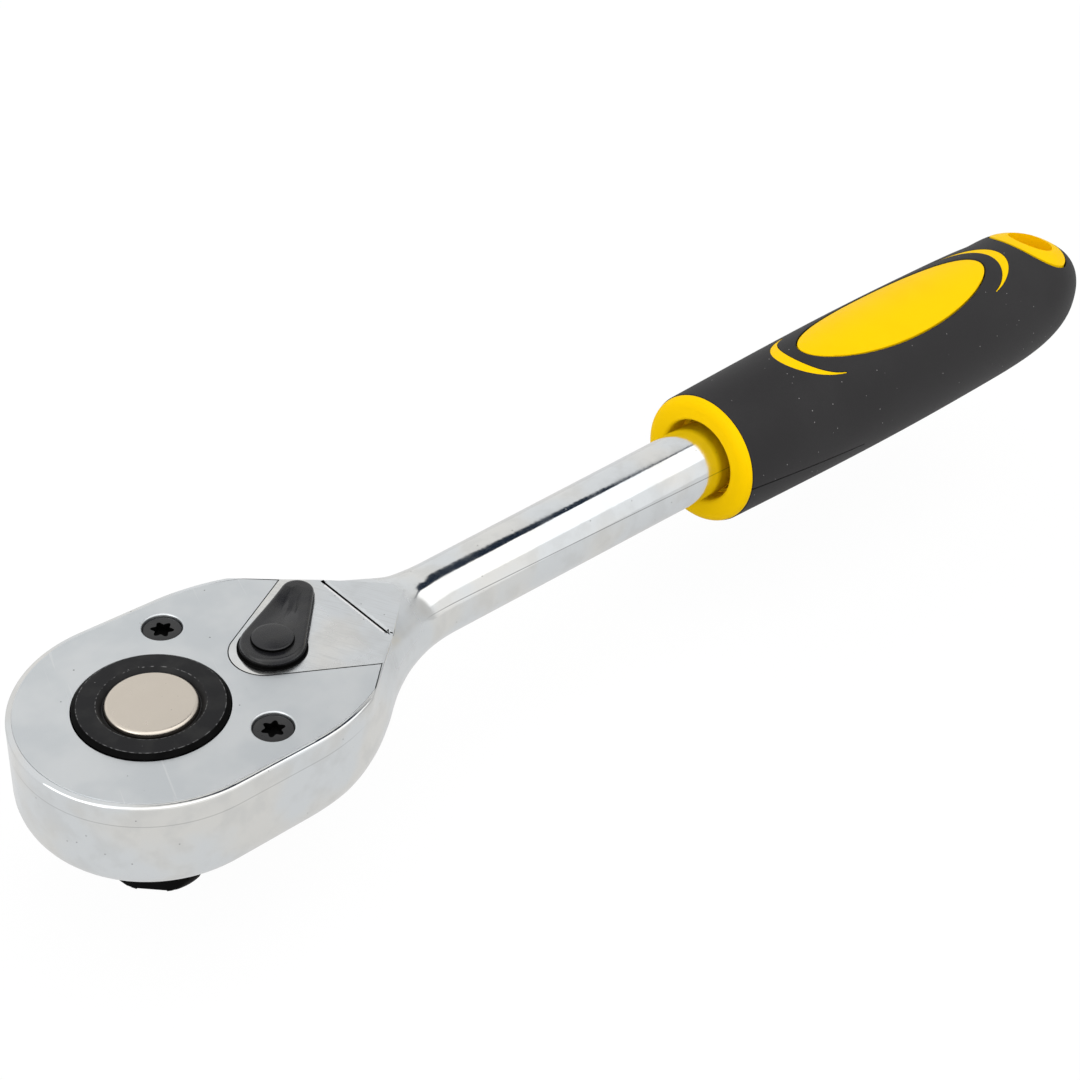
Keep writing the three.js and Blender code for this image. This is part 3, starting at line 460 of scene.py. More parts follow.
class Shade:
    """A material's node tree, written as expressions."""

    def __init__(self, name: str, tree: bpy.types.NodeTree | None = None) -> None:
        """Starts an empty tree.

        Args:
            name: The material's name.
            tree: The tree to use. Without one, a new material's.
        """
        if tree is None:
            self.material = bpy.data.materials.new(name)
            self.material.use_nodes = True
            tree = self.material.node_tree
        self.tree = tree
        self.tree.nodes.clear()

    def node(
        self,
        kind: str,
        settings: dict[str, object] | None = None,
        inputs: dict[str | int, Input] | None = None,
        output: str | int = 0,
    ) -> Value:
        """Adds one node.

        Args:
            kind: The node's type.
            settings: Its own settings, set first. A ramp's stops are pairs of place and colour.
            inputs: Values or links of its sockets.
            output: Which of its outputs is returned.

        Returns:
            That output.
        """
        made = self.tree.nodes.new(kind)
        for key, setting in (settings or {}).items():
            if key == "stops":
                self._stops(made.color_ramp, setting)
            else:
                setattr(made, key, setting)
        for key, given in (inputs or {}).items():
            if isinstance(given, Value):
                self.tree.links.new(given.socket, made.inputs[key])
            else:
                made.inputs[key].default_value = given
        return Value(self, made.outputs[output] if made.outputs else None)

    @staticmethod
    def _stops(ramp: bpy.types.ColorRamp, stops: Sequence[tuple[float, Colour]]) -> None:
        """Gives a colour ramp its stops.

        Args:
            ramp: The ramp.
            stops: Pairs of place and colour.
        """
        while len(ramp.elements) < len(stops):
            ramp.elements.new(1.0)
        for element, (place, colour) in zip(ramp.elements, stops):
            element.position = place
            element.color = colour

    def math(self, operation: str, first: Number, second: Number) -> Value:
        """Adds a Math node and returns its result."""
        return self.node("ShaderNodeMath", {"operation": operation}, {0: first, 1: second})

    def spot(self, scale: Point = (1, 1, 1), turn: Point = (0, 0, 0)) -> Value:
        """Reads the place on the piece, in metres.

        Args:
            scale: How it is stretched, once turned.
            turn: How it is turned, in radians.

        Returns:
            The place.
        """
        place = self.node("ShaderNodeTexCoord", output="Object")
        settings = {"vector_type": "TEXTURE"} if turn != (0, 0, 0) else {}
        turned = self.node("ShaderNodeMapping", settings, {"Vector": place, "Rotation": turn})
        return self.node("ShaderNodeMapping", {}, {"Vector": turned, "Scale": scale})

    def axes(self) -> tuple[Value, Value, Value]:
        """Reads the place on the piece, in millimetres.

        Returns:
            Its x, y and z.
        """
        place = self.spot((1 / MM, 1 / MM, 1 / MM))
        x, y, z = (self.node("ShaderNodeSeparateXYZ", {}, {0: place}, axis) for axis in "XYZ")
        return x, y, z

    def noise(self, size: float, detail: float = 2.0, spot: Value | None = None) -> Value:
        """Returns soft noise from 0 to 1.

        Args:
            size: Its grain, in millimetres.
            detail: How much finer grain it has.
            spot: The place it reads, if not the plain one.

        Returns:
            The noise.
        """
        inputs = {"Vector": spot or self.spot(), "Scale": 1 / (size * MM), "Detail": detail}
        return self.node("ShaderNodeTexNoise", {}, inputs)

    def specks(self, size: float, share: float) -> Value:
        """Returns 1 on scattered small dots and 0 elsewhere.

        Args:
            size: Distance between cells that may hold a dot, in millimetres.
            share: The dots' radius as a share of a cell.

        Returns:
            The mask.
        """
        inputs = {"Vector": self.spot(), "Scale": 1 / (size * MM), "Randomness": 1.0}
        distance = self.node("ShaderNodeTexVoronoi", {}, inputs, "Distance")
        return 1 - self.step(distance, share * SPECK_CORE, share)

    def step(self, value: Number, low: float, high: float) -> Value:
        """Eases from 0 to 1.

        Args:
            value: What is compared.
            low: Up to here it is 0.
            high: From here it is 1.

        Returns:
            The eased value.
        """
        settings = {"interpolation_type": "SMOOTHSTEP"}
        inputs = {"Value": value, "From Min": low, "From Max": high}
        return self.node("ShaderNodeMapRange", settings, inputs)

    def blend(self, share: Number, first: Input, second: Input) -> Value:
        """Returns a colour that goes from first to second with share."""
        inputs = {0: share, MIX_FIRST: first, MIX_SECOND: second}
        return self.node("ShaderNodeMix", {"data_type": "RGBA"}, inputs, MIX_RESULT)

    def band(self, value: Number, rise: Pair, fall: Pair) -> Value:
        """Returns 1 between a rise and a fall, and 0 outside them."""
        return self.step(value, *rise) * (1 - self.step(value, *fall))

    def bump(self, height: Number, depth: float) -> Value:
        """Returns a normal bent by a height, whose full range is depth millimetres."""
        inputs = {"Height": height, "Distance": depth * MM, "Strength": 1.0}
        return self.node("ShaderNodeBump", {}, inputs)

    def finish(
        self, colour: Value, rough: Value, normal: Value, metal: Number = 0.0, shine: float = 0.5
    ) -> bpy.types.Material:
        """Ends the tree in one shader.

        Args:
            colour: Its base colour.
            rough: Its roughness.
            normal: Its bent normal.
            metal: How metallic it is.
            shine: Its specular level.

        Returns:
            The material.
        """
        inputs = {
            "Base Color": colour,
            "Metallic": metal,
            "Roughness": rough,
            "Specular IOR Level": shine,
            "Normal": normal,
        }
        shader = self.node("ShaderNodeBsdfPrincipled", {}, inputs)
        self.node("ShaderNodeOutputMaterial", {}, {"Surface": shader})
        return self.material


def grey(level: float) -> Colour:
    """Returns an opaque grey."""
    return (level, level, level, 1.0)


@dataclass(frozen=True)
class ForgedChrome:
    """Bright chrome over a forging, with faint waves, pits, tints, the dies' flash lines and a
    painted reflection line along the head's wall.
    """

    axis_height: float
    axis_rise: float
    name: str = "forged_chrome"
    cool: Colour = (0.74, 0.765, 0.78, 1)
    warm: Colour = (0.775, 0.77, 0.745, 1)
    dull: Colour = (0.60, 0.61, 0.61, 1)
    # Dark grey of the pits and flash lines, and of the painted reflection line on the head's
    # wall.
    line: Colour = (0.16, 0.16, 0.16, 1)
    roughness: float = 0.06
    depth: float = 0.03
    wave: float = 0.35
    wave_size: float = 3.5
    ripple: float = 0.14
    ripple_size: float = 0.8
    dapple: float = 0.03
    dapple_size: float = 0.6
    tint_size: float = 14
    tint_edge: Pair = (0.42, 0.6)
    mottle: float = 0.3
    mottle_edge: Pair = (0.42, 0.66)
    haze: float = 0.05
    haze_size: float = 6
    haze_edge: Pair = (0.4, 0.65)
    pit_size: float = 2.4
    pit_share: float = 0.06
    pit_dark: float = 0.6
    pit_depth: float = 0.3
    flash: float = 0.75
    flash_x: float = 50.0
    flash_run: float = 7.0
    flash_lean: float = 0.554
    flash_drift: float = 0.0047
    flash_edge: Pair = (0.02, 0.11)
    # A painted reflection: a faint dark line along the head's side wall, fading out towards the
    # neck.
    wall: float = 0.3
    reflection_line: float = 26.2
    reflection_edge: Pair = (0.02, 0.12)
    reflection_fade: Pair = (16, 26)
    flat: float = 29.5
    flat_blur: float = 0.08
    ground: float = 0.16
    ground_rise: Pair = (14, 18)
    ground_fall: Pair = (38, 46)
    brush: float = 0.4
    brush_size: float = 0.5
    brush_edge: Pair = (0.45, 0.75)
    brush_stretch: Point = (0.1, 2.0, 1)
    brush_turn: float = -1.1
    frost: float = 0.25
    frost_rise: Pair = (30, 35)
    frost_fall: Pair = (40, 47)
    frost_above: Pair = (24, 27)

    def flash_and_reflection_lines(self, shade: Shade) -> Value:
        """Draws the thin flash lines that the dies left along both sides of the shank, and a
        painted reflection line along the head's wall.

        Args:
            shade: The tree that they are drawn in.

        Returns:
            Their strength, 0 elsewhere.
        """
        x, y, z = shade.axes()
        lean = self.flash_lean - (x - self.flash_x) * self.flash_drift
        off = abs(z - self.axis_height - x * self.axis_rise - abs(y) * lean)
        behind = shade.step(x, self.flash_x - self.flash_run, self.flash_x)
        shank = (1 - shade.step(off, *self.flash_edge)) * behind
        # Painted reflection: a faint dark line along the head's side wall.
        before = 1 - shade.step(x, *self.reflection_fade)
        wall = (1 - shade.step(abs(z - self.reflection_line), *self.reflection_edge)) * before
        return shank * self.flash + wall * self.wall

    def material(self) -> bpy.types.Material:
        """Makes the finish.

        Returns:
            The material.
        """
        shade = Shade(self.name)
        x, _, z = shade.axes()
        tint = shade.step(shade.noise(self.tint_size, detail=3), *self.tint_edge)
        pits = shade.specks(self.pit_size, self.pit_share)
        mottle = shade.step(shade.noise(self.wave_size, detail=5), *self.mottle_edge)
        strokes = shade.spot(self.brush_stretch, (0, 0, self.brush_turn))
        brushed = shade.step(shade.noise(self.brush_size, 3, strokes), *self.brush_edge)
        neck = shade.band(x, self.ground_rise, self.ground_fall)
        ground = shade.step(z, self.flat, self.flat + self.flat_blur) * neck
        colour = shade.blend(tint, self.cool, self.warm)
        colour = shade.blend(mottle * self.mottle, colour, self.dull)
        colour = shade.blend(ground * brushed * self.brush, colour, self.dull)
        # Pits and flash lines are real marks; the wall line among them is a painted reflection.
        colour = shade.blend(pits * self.pit_dark + self.flash_and_reflection_lines(shade), colour, self.line)
        haze = shade.step(shade.noise(self.haze_size, detail=4), *self.haze_edge)
        shoulder = shade.band(x, self.frost_rise, self.frost_fall)
        frost = shoulder * shade.step(z, *self.frost_above)
        rough = haze * self.haze + ground * self.ground + frost * self.frost + self.roughness
        rough = rough + shade.noise(self.dapple_size) * self.dapple
        height = shade.noise(self.wave_size) * self.wave
        height = height + shade.noise(self.ripple_size, detail=0) * self.ripple
        height = height - pits * self.pit_depth
        return shade.finish(colour, rough, shade.bump(height, self.depth), metal=1.0)


@dataclass(frozen=True)
class SatinChrome:
    """Flat ground plate under chrome: fine grinding lines, odd scratches and specks."""

    name: str = "satin_chrome"
    base: Colour = (0.665, 0.695, 0.712, 1)
    pale: Colour = (0.735, 0.758, 0.768, 1)
    cut: Colour = (0.9, 0.9, 0.9, 1)
    dirt: Colour = (0.12, 0.12, 0.12, 1)
    roughness: float = 0.36
    rough_mean: float = 0.08
    line_rough: float = 0.1
    cloud_rough: float = 0.06
    scratch_rough: float = 0.08
    depth: float = 0.006
    line_height: float = 0.5
    scratch_height: float = -0.5
    grain_turn: float = 0.35
    line_size: float = 1.0
    line_stretch: Point = (0.12, 3.0, 1)
    scratch: float = 0.3
    scratch_size: float = 1.6
    scratch_stretch: Point = (0.06, 2.2, 1)
    scratch_turn: float = 0.9
    scratch_edge: Pair = (0.7, 0.74)
    speck: float = 0.7
    speck_size: float = 3.1
    speck_share: float = 0.05
    cloud_size: float = 9
    cloud_edge: Pair = (0.35, 0.65)

    def material(self) -> bpy.types.Material:
        """Makes the finish.

        Returns:
            The material.
        """
        shade = Shade(self.name)
        along = shade.spot(self.line_stretch, (0, 0, self.grain_turn))
        lines = shade.noise(self.line_size, 3, along)
        aslant = shade.spot(self.scratch_stretch, (0, 0, self.grain_turn + self.scratch_turn))
        scratched = shade.step(shade.noise(self.scratch_size, 1, aslant), *self.scratch_edge)
        specks = shade.specks(self.speck_size, self.speck_share)
        cloud = shade.noise(self.cloud_size, detail=3)
        colour = shade.blend(shade.step(cloud, *self.cloud_edge), self.base, self.pale)
        colour = shade.blend(scratched * self.scratch, colour, self.cut)
        colour = shade.blend(specks * self.speck, colour, self.dirt)
        rough = lines * self.line_rough + cloud * self.cloud_rough
        rough = rough + scratched * self.scratch_rough + (self.roughness - self.rough_mean)
        height = lines * self.line_height + scratched * self.scratch_height - specks
        return shade.finish(colour, rough, shade.bump(height, self.depth), metal=1.0)


@dataclass(frozen=True)
class BlackOxide:
    """Blacked steel with a fine tooth and small bright chips where it is rubbed."""

    name: str = "black_oxide"
    base: Colour = (0.011, 0.011, 0.012, 1)
    deep: Colour = (0.016, 0.016, 0.016, 1)
    bare: Colour = (0.30, 0.30, 0.30, 1)
    roughness: float = 0.36
    rough_mean: float = 0.1
    cloud_rough: float = 0.12
    grit_rough: float = 0.08
    grit_size: float = 0.3
    shine: float = 0.25
    depth: float = 0.012
    tooth: float = 0.5
    tooth_size: float = 0.35
    cloud_size: float = 3
    cloud_edge: Pair = (0.4, 0.7)
    chips: float = 0.05
    chip_size: float = 2.0
    chip_bare: float = 0.7
    chip_metal: float = 0.8
    rub: float = 0.7
    rub_size: float = 0.5
    rub_edge: Pair = (0.44, 0.64)
    worn_edge: Pair = (0.02, 0.09)
    worn_radii: tuple[float, ...] = ()

    def material(self) -> bpy.types.Material:
        """Makes the finish.

        Returns:
            The material.
        """
        shade = Shade(self.name)
        cloud = shade.noise(self.cloud_size, detail=3)
        chips = shade.specks(self.chip_size, self.chips)
        rubbed = shade.step(shade.noise(self.rub_size, detail=3), *self.rub_edge) * self.rub
        for radius in self.worn_radii:
            flat = {0: shade.spot((1 / MM, 1 / MM, 0))}
            reach = shade.node("ShaderNodeVectorMath", {"operation": "LENGTH"}, flat, "Value")
            chips = chips + (1 - shade.step(abs(reach - radius), *self.worn_edge)) * rubbed
        colour = shade.blend(shade.step(cloud, *self.cloud_edge), self.base, self.deep)
        colour = shade.blend(chips * self.chip_bare, colour, self.bare)
        rough = cloud * self.cloud_rough + shade.noise(self.grit_size) * self.grit_rough
        rough = rough + (self.roughness - self.rough_mean)
        height = shade.noise(self.tooth_size, detail=3) * self.tooth - chips
        normal = shade.bump(height, self.depth)
        return shade.finish(colour, rough, normal, chips * self.chip_metal, self.shine)


@dataclass(frozen=True)
class WarmNickel:
    """The button's nickel plate: a warm, finely pebbled satin."""

    name: str = "warm_nickel"
    base: Colour = (0.69, 0.625, 0.54, 1)
    pale: Colour = (0.73, 0.665, 0.58, 1)
    dirt: Colour = (0.2, 0.2, 0.2, 1)
    roughness: float = 0.3
    rough_mean: float = 0.06
    pebble_rough: float = 0.12
    pebble_size: float = 0.7
    depth: float = 0.008
    cloud_size: float = 5
    speck: float = 0.35
    speck_size: float = 1.9
    speck_share: float = 0.06

    def material(self) -> bpy.types.Material:
        """Makes the finish.

        Returns:
            The material.
        """
        shade = Shade(self.name)
        pebble = shade.noise(self.pebble_size, detail=3)
        specks = shade.specks(self.speck_size, self.speck_share)
        colour = shade.blend(shade.noise(self.cloud_size), self.base, self.pale)
        colour = shade.blend(specks * self.speck, colour, self.dirt)
        rough = pebble * self.pebble_rough + (self.roughness - self.rough_mean)
        return shade.finish(colour, rough, shade.bump(pebble, self.depth), metal=1.0)


@dataclass(frozen=True)
class BareSteel:
    """Plain turned steel of the pieces inside the head."""

    name: str = "bare_steel"
    base: Colour = (0.42, 0.43, 0.45, 1)
    pale: Colour = (0.55, 0.55, 0.55, 1)
    roughness: float = 0.28
    grain_rough: float = 0.15
    grain_size: float = 0.8
    depth: float = 0.01

    def material(self) -> bpy.types.Material:
        """Makes the finish.

        Returns:
            The material.
        """
        shade = Shade(self.name)
        grain = shade.noise(self.grain_size, detail=3)
        colour = shade.blend(grain, self.base, self.pale)
        rough = grain * self.grain_rough + self.roughness
        return shade.finish(colour, rough, shade.bump(grain, self.depth), metal=1.0)


@dataclass(frozen=True)
class Moulded:
    """Moulded plastic or rubber: a base colour, soft clouds, pale dust and a fine grain."""

    name: str
    base: Colour
    cloud: Colour
    dust: Colour
    roughness: float
    dust_size: float
    dust_share: float
    grain: float
    grain_depth: float
    shine: float
    rough_mean: float = 0.08
    grain_rough: float = 0.12
    cloud_rough: float = 0.06
    cloud_size: float = 16
    cloud_edge: Pair = (0.4, 0.68)
    dust_strength: float = 0.8
    dust_height: float = 0.6

    def material(self) -> bpy.types.Material:
        """Makes the finish.

        Returns:
            The material.
        """
        shade = Shade(self.name)
        cloud = shade.step(shade.noise(self.cloud_size, detail=4), *self.cloud_edge)
        dust = shade.specks(self.dust_size, self.dust_share)
        colour = shade.blend(cloud, self.base, self.cloud)
        colour = shade.blend(dust * self.dust_strength, colour, self.dust)
        grain = shade.noise(self.grain, detail=3)
        rough = grain * self.grain_rough + cloud * self.cloud_rough
        rough = rough + (self.roughness - self.rough_mean)
        normal = shade.bump(grain + dust * self.dust_height, self.grain_depth)
        return shade.finish(colour, rough, normal, shine=self.shine)


# A brighter copy of the chrome: a painted highlight on the ridge beside the groove.
PAINTED_HIGHLIGHT_CHROME = SatinChrome(
    name="bright_chrome", base=grey(0.95), pale=grey(0.98), roughness=0.2
)
BLACK_OXIDE = BlackOxide(roughness=0.3, shine=0.5)
HUB_OXIDE = BlackOxide(
    name="hub_oxide",
    base=(0.008, 0.008, 0.009, 1),
    roughness=0.4,
    chips=0.045,
    shine=0.2,
    worn_radii=(9.95, 7.4),
)
# Near-black painted shade with a few bare chips, for the groove's walls, the screws' sockets, the
# square drive, the hub ring's slope and the spaces under the lever and its rivet head.
PAINTED_SHADE_BLACK = BlackOxide(
    name="drive_black",
    base=grey(0.002),
    deep=grey(0.004),
    roughness=0.5,
    chips=0.02,
    shine=0.03,
)
LEVER_BLACK = BlackOxide(
    name="lever_black", base=(0.009, 0.009, 0.011, 1), roughness=0.27, chips=0.02, shine=0.5
)
YELLOW_PLASTIC = Moulded(
    name="yellow_plastic",
    base=(1.0, 0.625, 0.0, 1),
    cloud=(0.97, 0.60, 0.0, 1),
    dust=(0.80, 0.48, 0.0, 1),
    roughness=0.42,
    dust_size=7,
    dust_share=0.02,
    grain=0.5,
    grain_depth=0.012,
    shine=0.03,
)
GRIP_RUBBER = Moulded(
    name="grip_rubber",
    base=(0.015, 0.014, 0.015, 1),
    cloud=(0.021, 0.020, 0.021, 1),
    dust=(0.36, 0.35, 0.35, 1),
    roughness=0.62,
    dust_size=2.2,
    dust_share=0.06,
    grain=0.22,
    grain_depth=0.02,
    shine=0.3,
)
SEAL_RUBBER = Moulded(
    name="seal_rubber",
    base=(0.012, 0.012, 0.012, 1),
    cloud=(0.02, 0.02, 0.02, 1),
    dust=(0.1, 0.1, 0.1, 1),
    roughness=0.6,
    dust_size=3,
    dust_share=0.03,
    grain=0.3,
    grain_depth=0.01,
    shine=0.3,
)


@dataclass
class Head:
    """The head's plan and levels, which its pieces share. Millimetres."""

    bottom: float = 13.2
    top: float = 29.6
    half_width: float = 19.6
    nose_x: float = 0.6
    side_end_x: float = 13.0
    taper_radius: float = 31.0
    rear_x: float = 36.0
    rear_pull: float = 1.6
    floor: float = 16.2
    plate_under: float = 27.0
    pocket_ceiling: float = 25.6
    rim: float = 0.85
    seam: float = 0.15
    outline_seam: float = 0.02
    notch_x: float = 18.9
    notch_radius: float = 5.36
    notch_half_angle: float = math.radians(28.6)
    screw: Pair = (10.4, 13.3)
    lever_x: float = 20.1
    pawl_x: float = 15.0
    crease_x: float = 35.2
    crease_half: float = 8.3
    crease_slope: float = 0.85
    crease_fade: float = 10.5
    crease_power: float = 1.2
    past_rear: float = 4.0

    @property
    def taper_y(self) -> float:
        """How far the taper arcs' centres lie on the far side of the middle."""
        return self.taper_radius - self.half_width

    def taper_width(self, x: float) -> float:
        """Returns the half-width of the tapering part at x."""
        across = x - self.side_end_x
        return math.sqrt(self.taper_radius**2 - across**2) - self.taper_y

    def outline(self, inset: float) -> list[Pair]:
        """Draws the head's plan.

        Args:
            inset: How far it is drawn in.

        Returns:
            The outline's points.
        """
        side = self.half_width - inset
        taper = self.taper_radius - inset
        rear = self.rear_x - self.rear_pull * inset
        turn = math.asin((rear - self.side_end_x) / taper)
        left = (self.side_end_x, self.taper_y)
        right = (self.side_end_x, -self.taper_y)
        return [
            *arc((self.nose_x, 0), side, QUARTER, 3 * QUARTER, 72),
            *arc(left, taper, -QUARTER, turn - QUARTER, 24),
            *arc(right, taper, QUARTER - turn, QUARTER, 24),
        ]

    def crease(self, x: float) -> float:
        """Measures the flat top, which runs out on the neck.

        Args:
            x: The place along the tool.

        Returns:
            Half its width there.
        """
        if x < self.crease_x:
            return self.crease_half + (self.crease_x - x) * self.crease_slope
        share = min((x - self.crease_x) / self.crease_fade, 1.0)
        return self.crease_half * (1 - share) ** self.crease_power

    def beyond_crease(self, inset: float, side: int) -> list[Pair]:
        """Draws the plan outside the crease on one side.

        Args:
            inset: How far it is moved in.
            side: 1 for the left, -1 for the right.

        Returns:
            Its corners.
        """
        start, end = self.side_end_x, self.rear_x + self.past_rear
        far = 2 * self.half_width
        step = inset * math.hypot(1, self.crease_slope)
        edge = [(x, self.crease(x) - step) for x in (start, end)]
        return [(x, side * y) for x, y in (*edge, (end, far), (start, far))]

    def notch(self, margin: float) -> list[Pair]:
        """Draws the V-notch round the lever.

        Args:
            margin: How far it is grown.

        Returns:
            The outline's points.
        """
        radius = self.notch_radius + margin
        start = QUARTER + self.notch_half_angle
        apex = arc((self.notch_x, 0), radius, start, FULL_TURN - start, 24)
        far = self.rear_x + self.half_width
        rise = (far - apex[0][0]) * math.tan(self.notch_half_angle)
        return [*apex, (far, apex[-1][1] - rise), (far, apex[0][1] + rise)]


@dataclass
class Shank:
    """The shank's axis, which rises a little from the head. Millimetres."""

    depth: float = 7.52
    rise: float = math.radians(1.78)
    neck_radius: float = 6.02
    handle_radius: float = 6.66
    neck_end: float = 50.0
    handle_x: float = 114.4

    def frame(self, head: Head) -> Matrix:
        """Returns where the shank's own frame lies in the part's."""
        lift = Matrix.Translation((0, 0, head.top - self.depth))
        return lift @ Matrix.Rotation(-self.rise, 4, "Y")

    def axis_z(self, head: Head, x: float) -> float:
        """Returns the axis's height at x."""
        return head.top - self.depth + x * math.tan(self.rise)

    def radius(self, x: float) -> float:
        """Returns the shank's radius at x."""
        share = min(max((x - self.neck_end) / (self.handle_x - self.neck_end), -1), 1)
        return lerp(self.neck_radius, self.handle_radius, share)


@dataclass
class Assembly:
    """What a class of pieces is built from: the shared plan, the shank and the finishes."""

    head: Head
    shank: Shank
    finishes: dict[str, bpy.types.Material]

    def dress(self, piece: Piece, finish: str, body: str, slot: str, *nodes: str) -> Piece:
        """Gives a piece its finish and its body, and hides the solids that it stands for.

        Args:
            piece: The finished piece.
            finish: Name of its finish.
            body: The body that it moves with.
            slot: The record's material slot. It is not used.
            nodes: The solids that it replaces.

        Returns:
            The piece.
        """
        piece.data.materials.clear()
        piece.data.materials.append(self.finishes[finish])
        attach(piece, body)
        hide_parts(*nodes)
        LOG.info("%s: %d faces", piece.name, len(piece.data.polygons))
        return piece

    def second_finish(self, piece: Piece, finish: str, chosen: Chooser) -> None:
        """Gives some of a piece's faces another finish.

        Args:
            piece: The dressed piece.
            finish: Name of the other finish.
            chosen: Says from a face's centre and normal whether it takes that finish.
        """
        piece.data.materials.append(self.finishes[finish])
        last = len(piece.data.materials) - 1
        for face in piece.data.polygons:
            if chosen(face.center, face.normal):
                face.material_index = last


@dataclass
class Forging(Assembly):
    """Head, neck and shank in one forging. Millimetres."""

    fillet_radius: float = 32.0
    edge_width: float = 4.2
    edge_height: float = 5.0
    rim_round: float = 0.52
    rim_drop: float = 0.12
    crease_round: float = 0.5
    shoulder_power: float = 3.2
    shoulder_rise: Pair = (31, 36)
    shoulder_fall: Pair = (38, 46)
    belly_rise: Pair = (26, 50)
    to_crease: Pair = (17, 25)
    edge_fade: Pair = (27, 44)
    to_round: Pair = (19, 46)
    lip: float = 0.1
    lip_run: float = 0.3
    edge_steps: int = 5
    wall_steps: int = 14
    low_steps: int = 3
    foot_steps: int = 10
    neck_stop: float = 52.0
    shank_end: float = 128.0
    groove_width: float = 1.0
    groove_depth: float = 0.7
    groove_slope: float = 0.32
    groove_back: float = 0.3
    groove_near: float = 0.9
    groove_far: float = 0.1
    groove_skin: float = 0.02
    nick: Point = (0.13, 0.7, 0.3)
    nick_turns: Pair = (-32, 28)
    nick_near: float = 1.0
    burr_height: float = 0.045
    burr_flat: float = 0.08
    burr_foot: float = 0.22
    burr_root: float = 0.2
    burr_near: float = 1.3
    burr_far: float = 1.2
    burr_share: Pair = (0.3, 2)
    crease_lip: float = 0.04
    gear_bore: float = 12.8
    journal_bore: float = 10.02
    pocket_radius: float = 18.65
    pocket_turn: float = math.radians(43)
    lever_pocket: float = 3.9
    lever_bore: float = 3.0
    foot_bore: float = 1.6
    foot_depth: float = 1.5
    pin_bore: float = 0.95
    pin_depth: float = 1.25
    screw_bore: float = 1.72
    screw_depth: float = 6.1

    @property
    def groove_x(self) -> float:
        """Where the groove's middle lies along the tool."""
        return self.head.crease_x + self.groove_back

    def half_plan(self) -> list[tuple[Pair, Pair]]:
        """Lists stations along one side, from the nose to the shank's end.

        Returns:
            Each station's point on the plan and the direction that points outwards there.
        """
        head = self.head
        nose = arc((0, 0), 1.0, math.pi, QUARTER, 40)
        wide = head.half_width
        stations = [((head.nose_x + wide * c, wide * s), (c, s)) for c, s in nose]
        side = spread(head.nose_x, head.side_end_x, 5)[1:-1]
        stations += [((x, wide), (0.0, 1.0)) for x in side]
        xs = spread(head.side_end_x, self.neck_stop, 64)
        xs += spread(self.neck_stop, self.shank_end, 12)[1:]
        return stations + [((x, self.half_width(x)), (0.0, 1.0)) for x in xs]

    def half_width(self, x: float) -> float:
        """Measures the taper, then a hollow fillet, then the shank.

        Args:
            x: A place behind the straight sides.

        Returns:
            Half the width there.
        """
        head = self.head
        round_width = self.shank.radius(x)
        reach = head.taper_radius + self.fillet_radius
        centre_y = self.shank.neck_radius + self.fillet_radius
        centre_x = head.side_end_x + math.sqrt(reach**2 - (centre_y + head.taper_y) ** 2)
        share = head.taper_radius / reach
        meet = lerp(head.side_end_x, centre_x, share)
        if x <= meet:
            return head.taper_width(x)
        if x >= centre_x:
            return round_width
        hollow = centre_y - math.sqrt(self.fillet_radius**2 - (centre_x - x) ** 2)
        return max(hollow, round_width)

    def rib(self, place: Pair, outward: Pair) -> list[Point]:
        """Returns one side's section at a station, from the top edge down to the bottom edge.

        Args:
            place: The station's point on the plan.
            outward: The direction that points out of the wall there.

        Returns:
            The section's points.
        """
        head = self.head
        x, width = place
        axis = self.shank.axis_z(head, x)
        round_radius = self.shank.radius(x)
        in_neck = x > head.side_end_x
        top = max(head.top, axis + round_radius) if in_neck else head.top
        bottom = lerp(head.bottom, axis - round_radius, smooth(*self.belly_rise, x))
        flat = min(width, head.crease(x)) if in_neck else width
        squared = smooth(*self.shoulder_rise, x) * (1 - smooth(*self.shoulder_fall, x))
        power = lerp(2.0, self.shoulder_power, squared)
        lean = max(1 - (flat / width) ** power, 0.0) ** (1 / power) if width > 0 else 0.0
        to_crease = smooth(*self.to_crease, x)
        round_edge = lerp(self.rim_round, self.crease_round, to_crease)
        round_edge *= 1 - smooth(*self.edge_fade, x)
        edge_top = top - self.rim_drop * (1 - to_crease)
        to_round = smooth(*self.to_round, x) if in_neck else 0.0
        low_width = lerp(self.edge_width, width, to_round) if in_neck else self.edge_width
        low_height = lerp(self.edge_height, axis - bottom, to_round)

        def wall(z: float) -> float:
            """Returns how far in the wall lies at a height."""
            share = max(z - axis, 0.0) / (top - axis)
            return width * (1 - max(1 - (lean * share) ** power, 0.0) ** (1 / power))

        shoulder = wall(edge_top - round_edge)
        level = max(shoulder + round_edge, head.rim + self.lip)
        drawn: list[Pair] = [(level + self.lip_run, top), (level, edge_top)]
        for i in range(self.edge_steps + 1):
            angle = QUARTER * (1 - i / self.edge_steps)
            inward = shoulder + round_edge * (1 - math.cos(angle))
            drawn.append((inward, edge_top - round_edge * (1 - math.sin(angle))))
        wall_low = bottom + low_height
        reach = edge_top - round_edge - axis
        steepest = math.asin(min(lean * reach / (top - axis), 1.0))
        for i in range(1, self.wall_steps + 1):
            share = 1 - i / self.wall_steps
            rise = math.sin(steepest * share) / math.sin(steepest) if steepest > WELD else share
            drawn.append((wall(axis + reach * rise), axis + reach * rise))
        drawn += [(0.0, z) for z in spread(axis, wall_low, self.low_steps)[1:]]
        for i in range(1, self.foot_steps + 1):
            angle = QUARTER * i / self.foot_steps
            inward = low_width * (1 - math.cos(angle))
            drawn.append((inward, wall_low - low_height * math.sin(angle)))
        span = width if in_neck else head.half_width
        kept = [(min(inward, span), z) for inward, z in drawn]
        return [(x - inward * outward[0], width - inward * outward[1], z) for inward, z in kept]

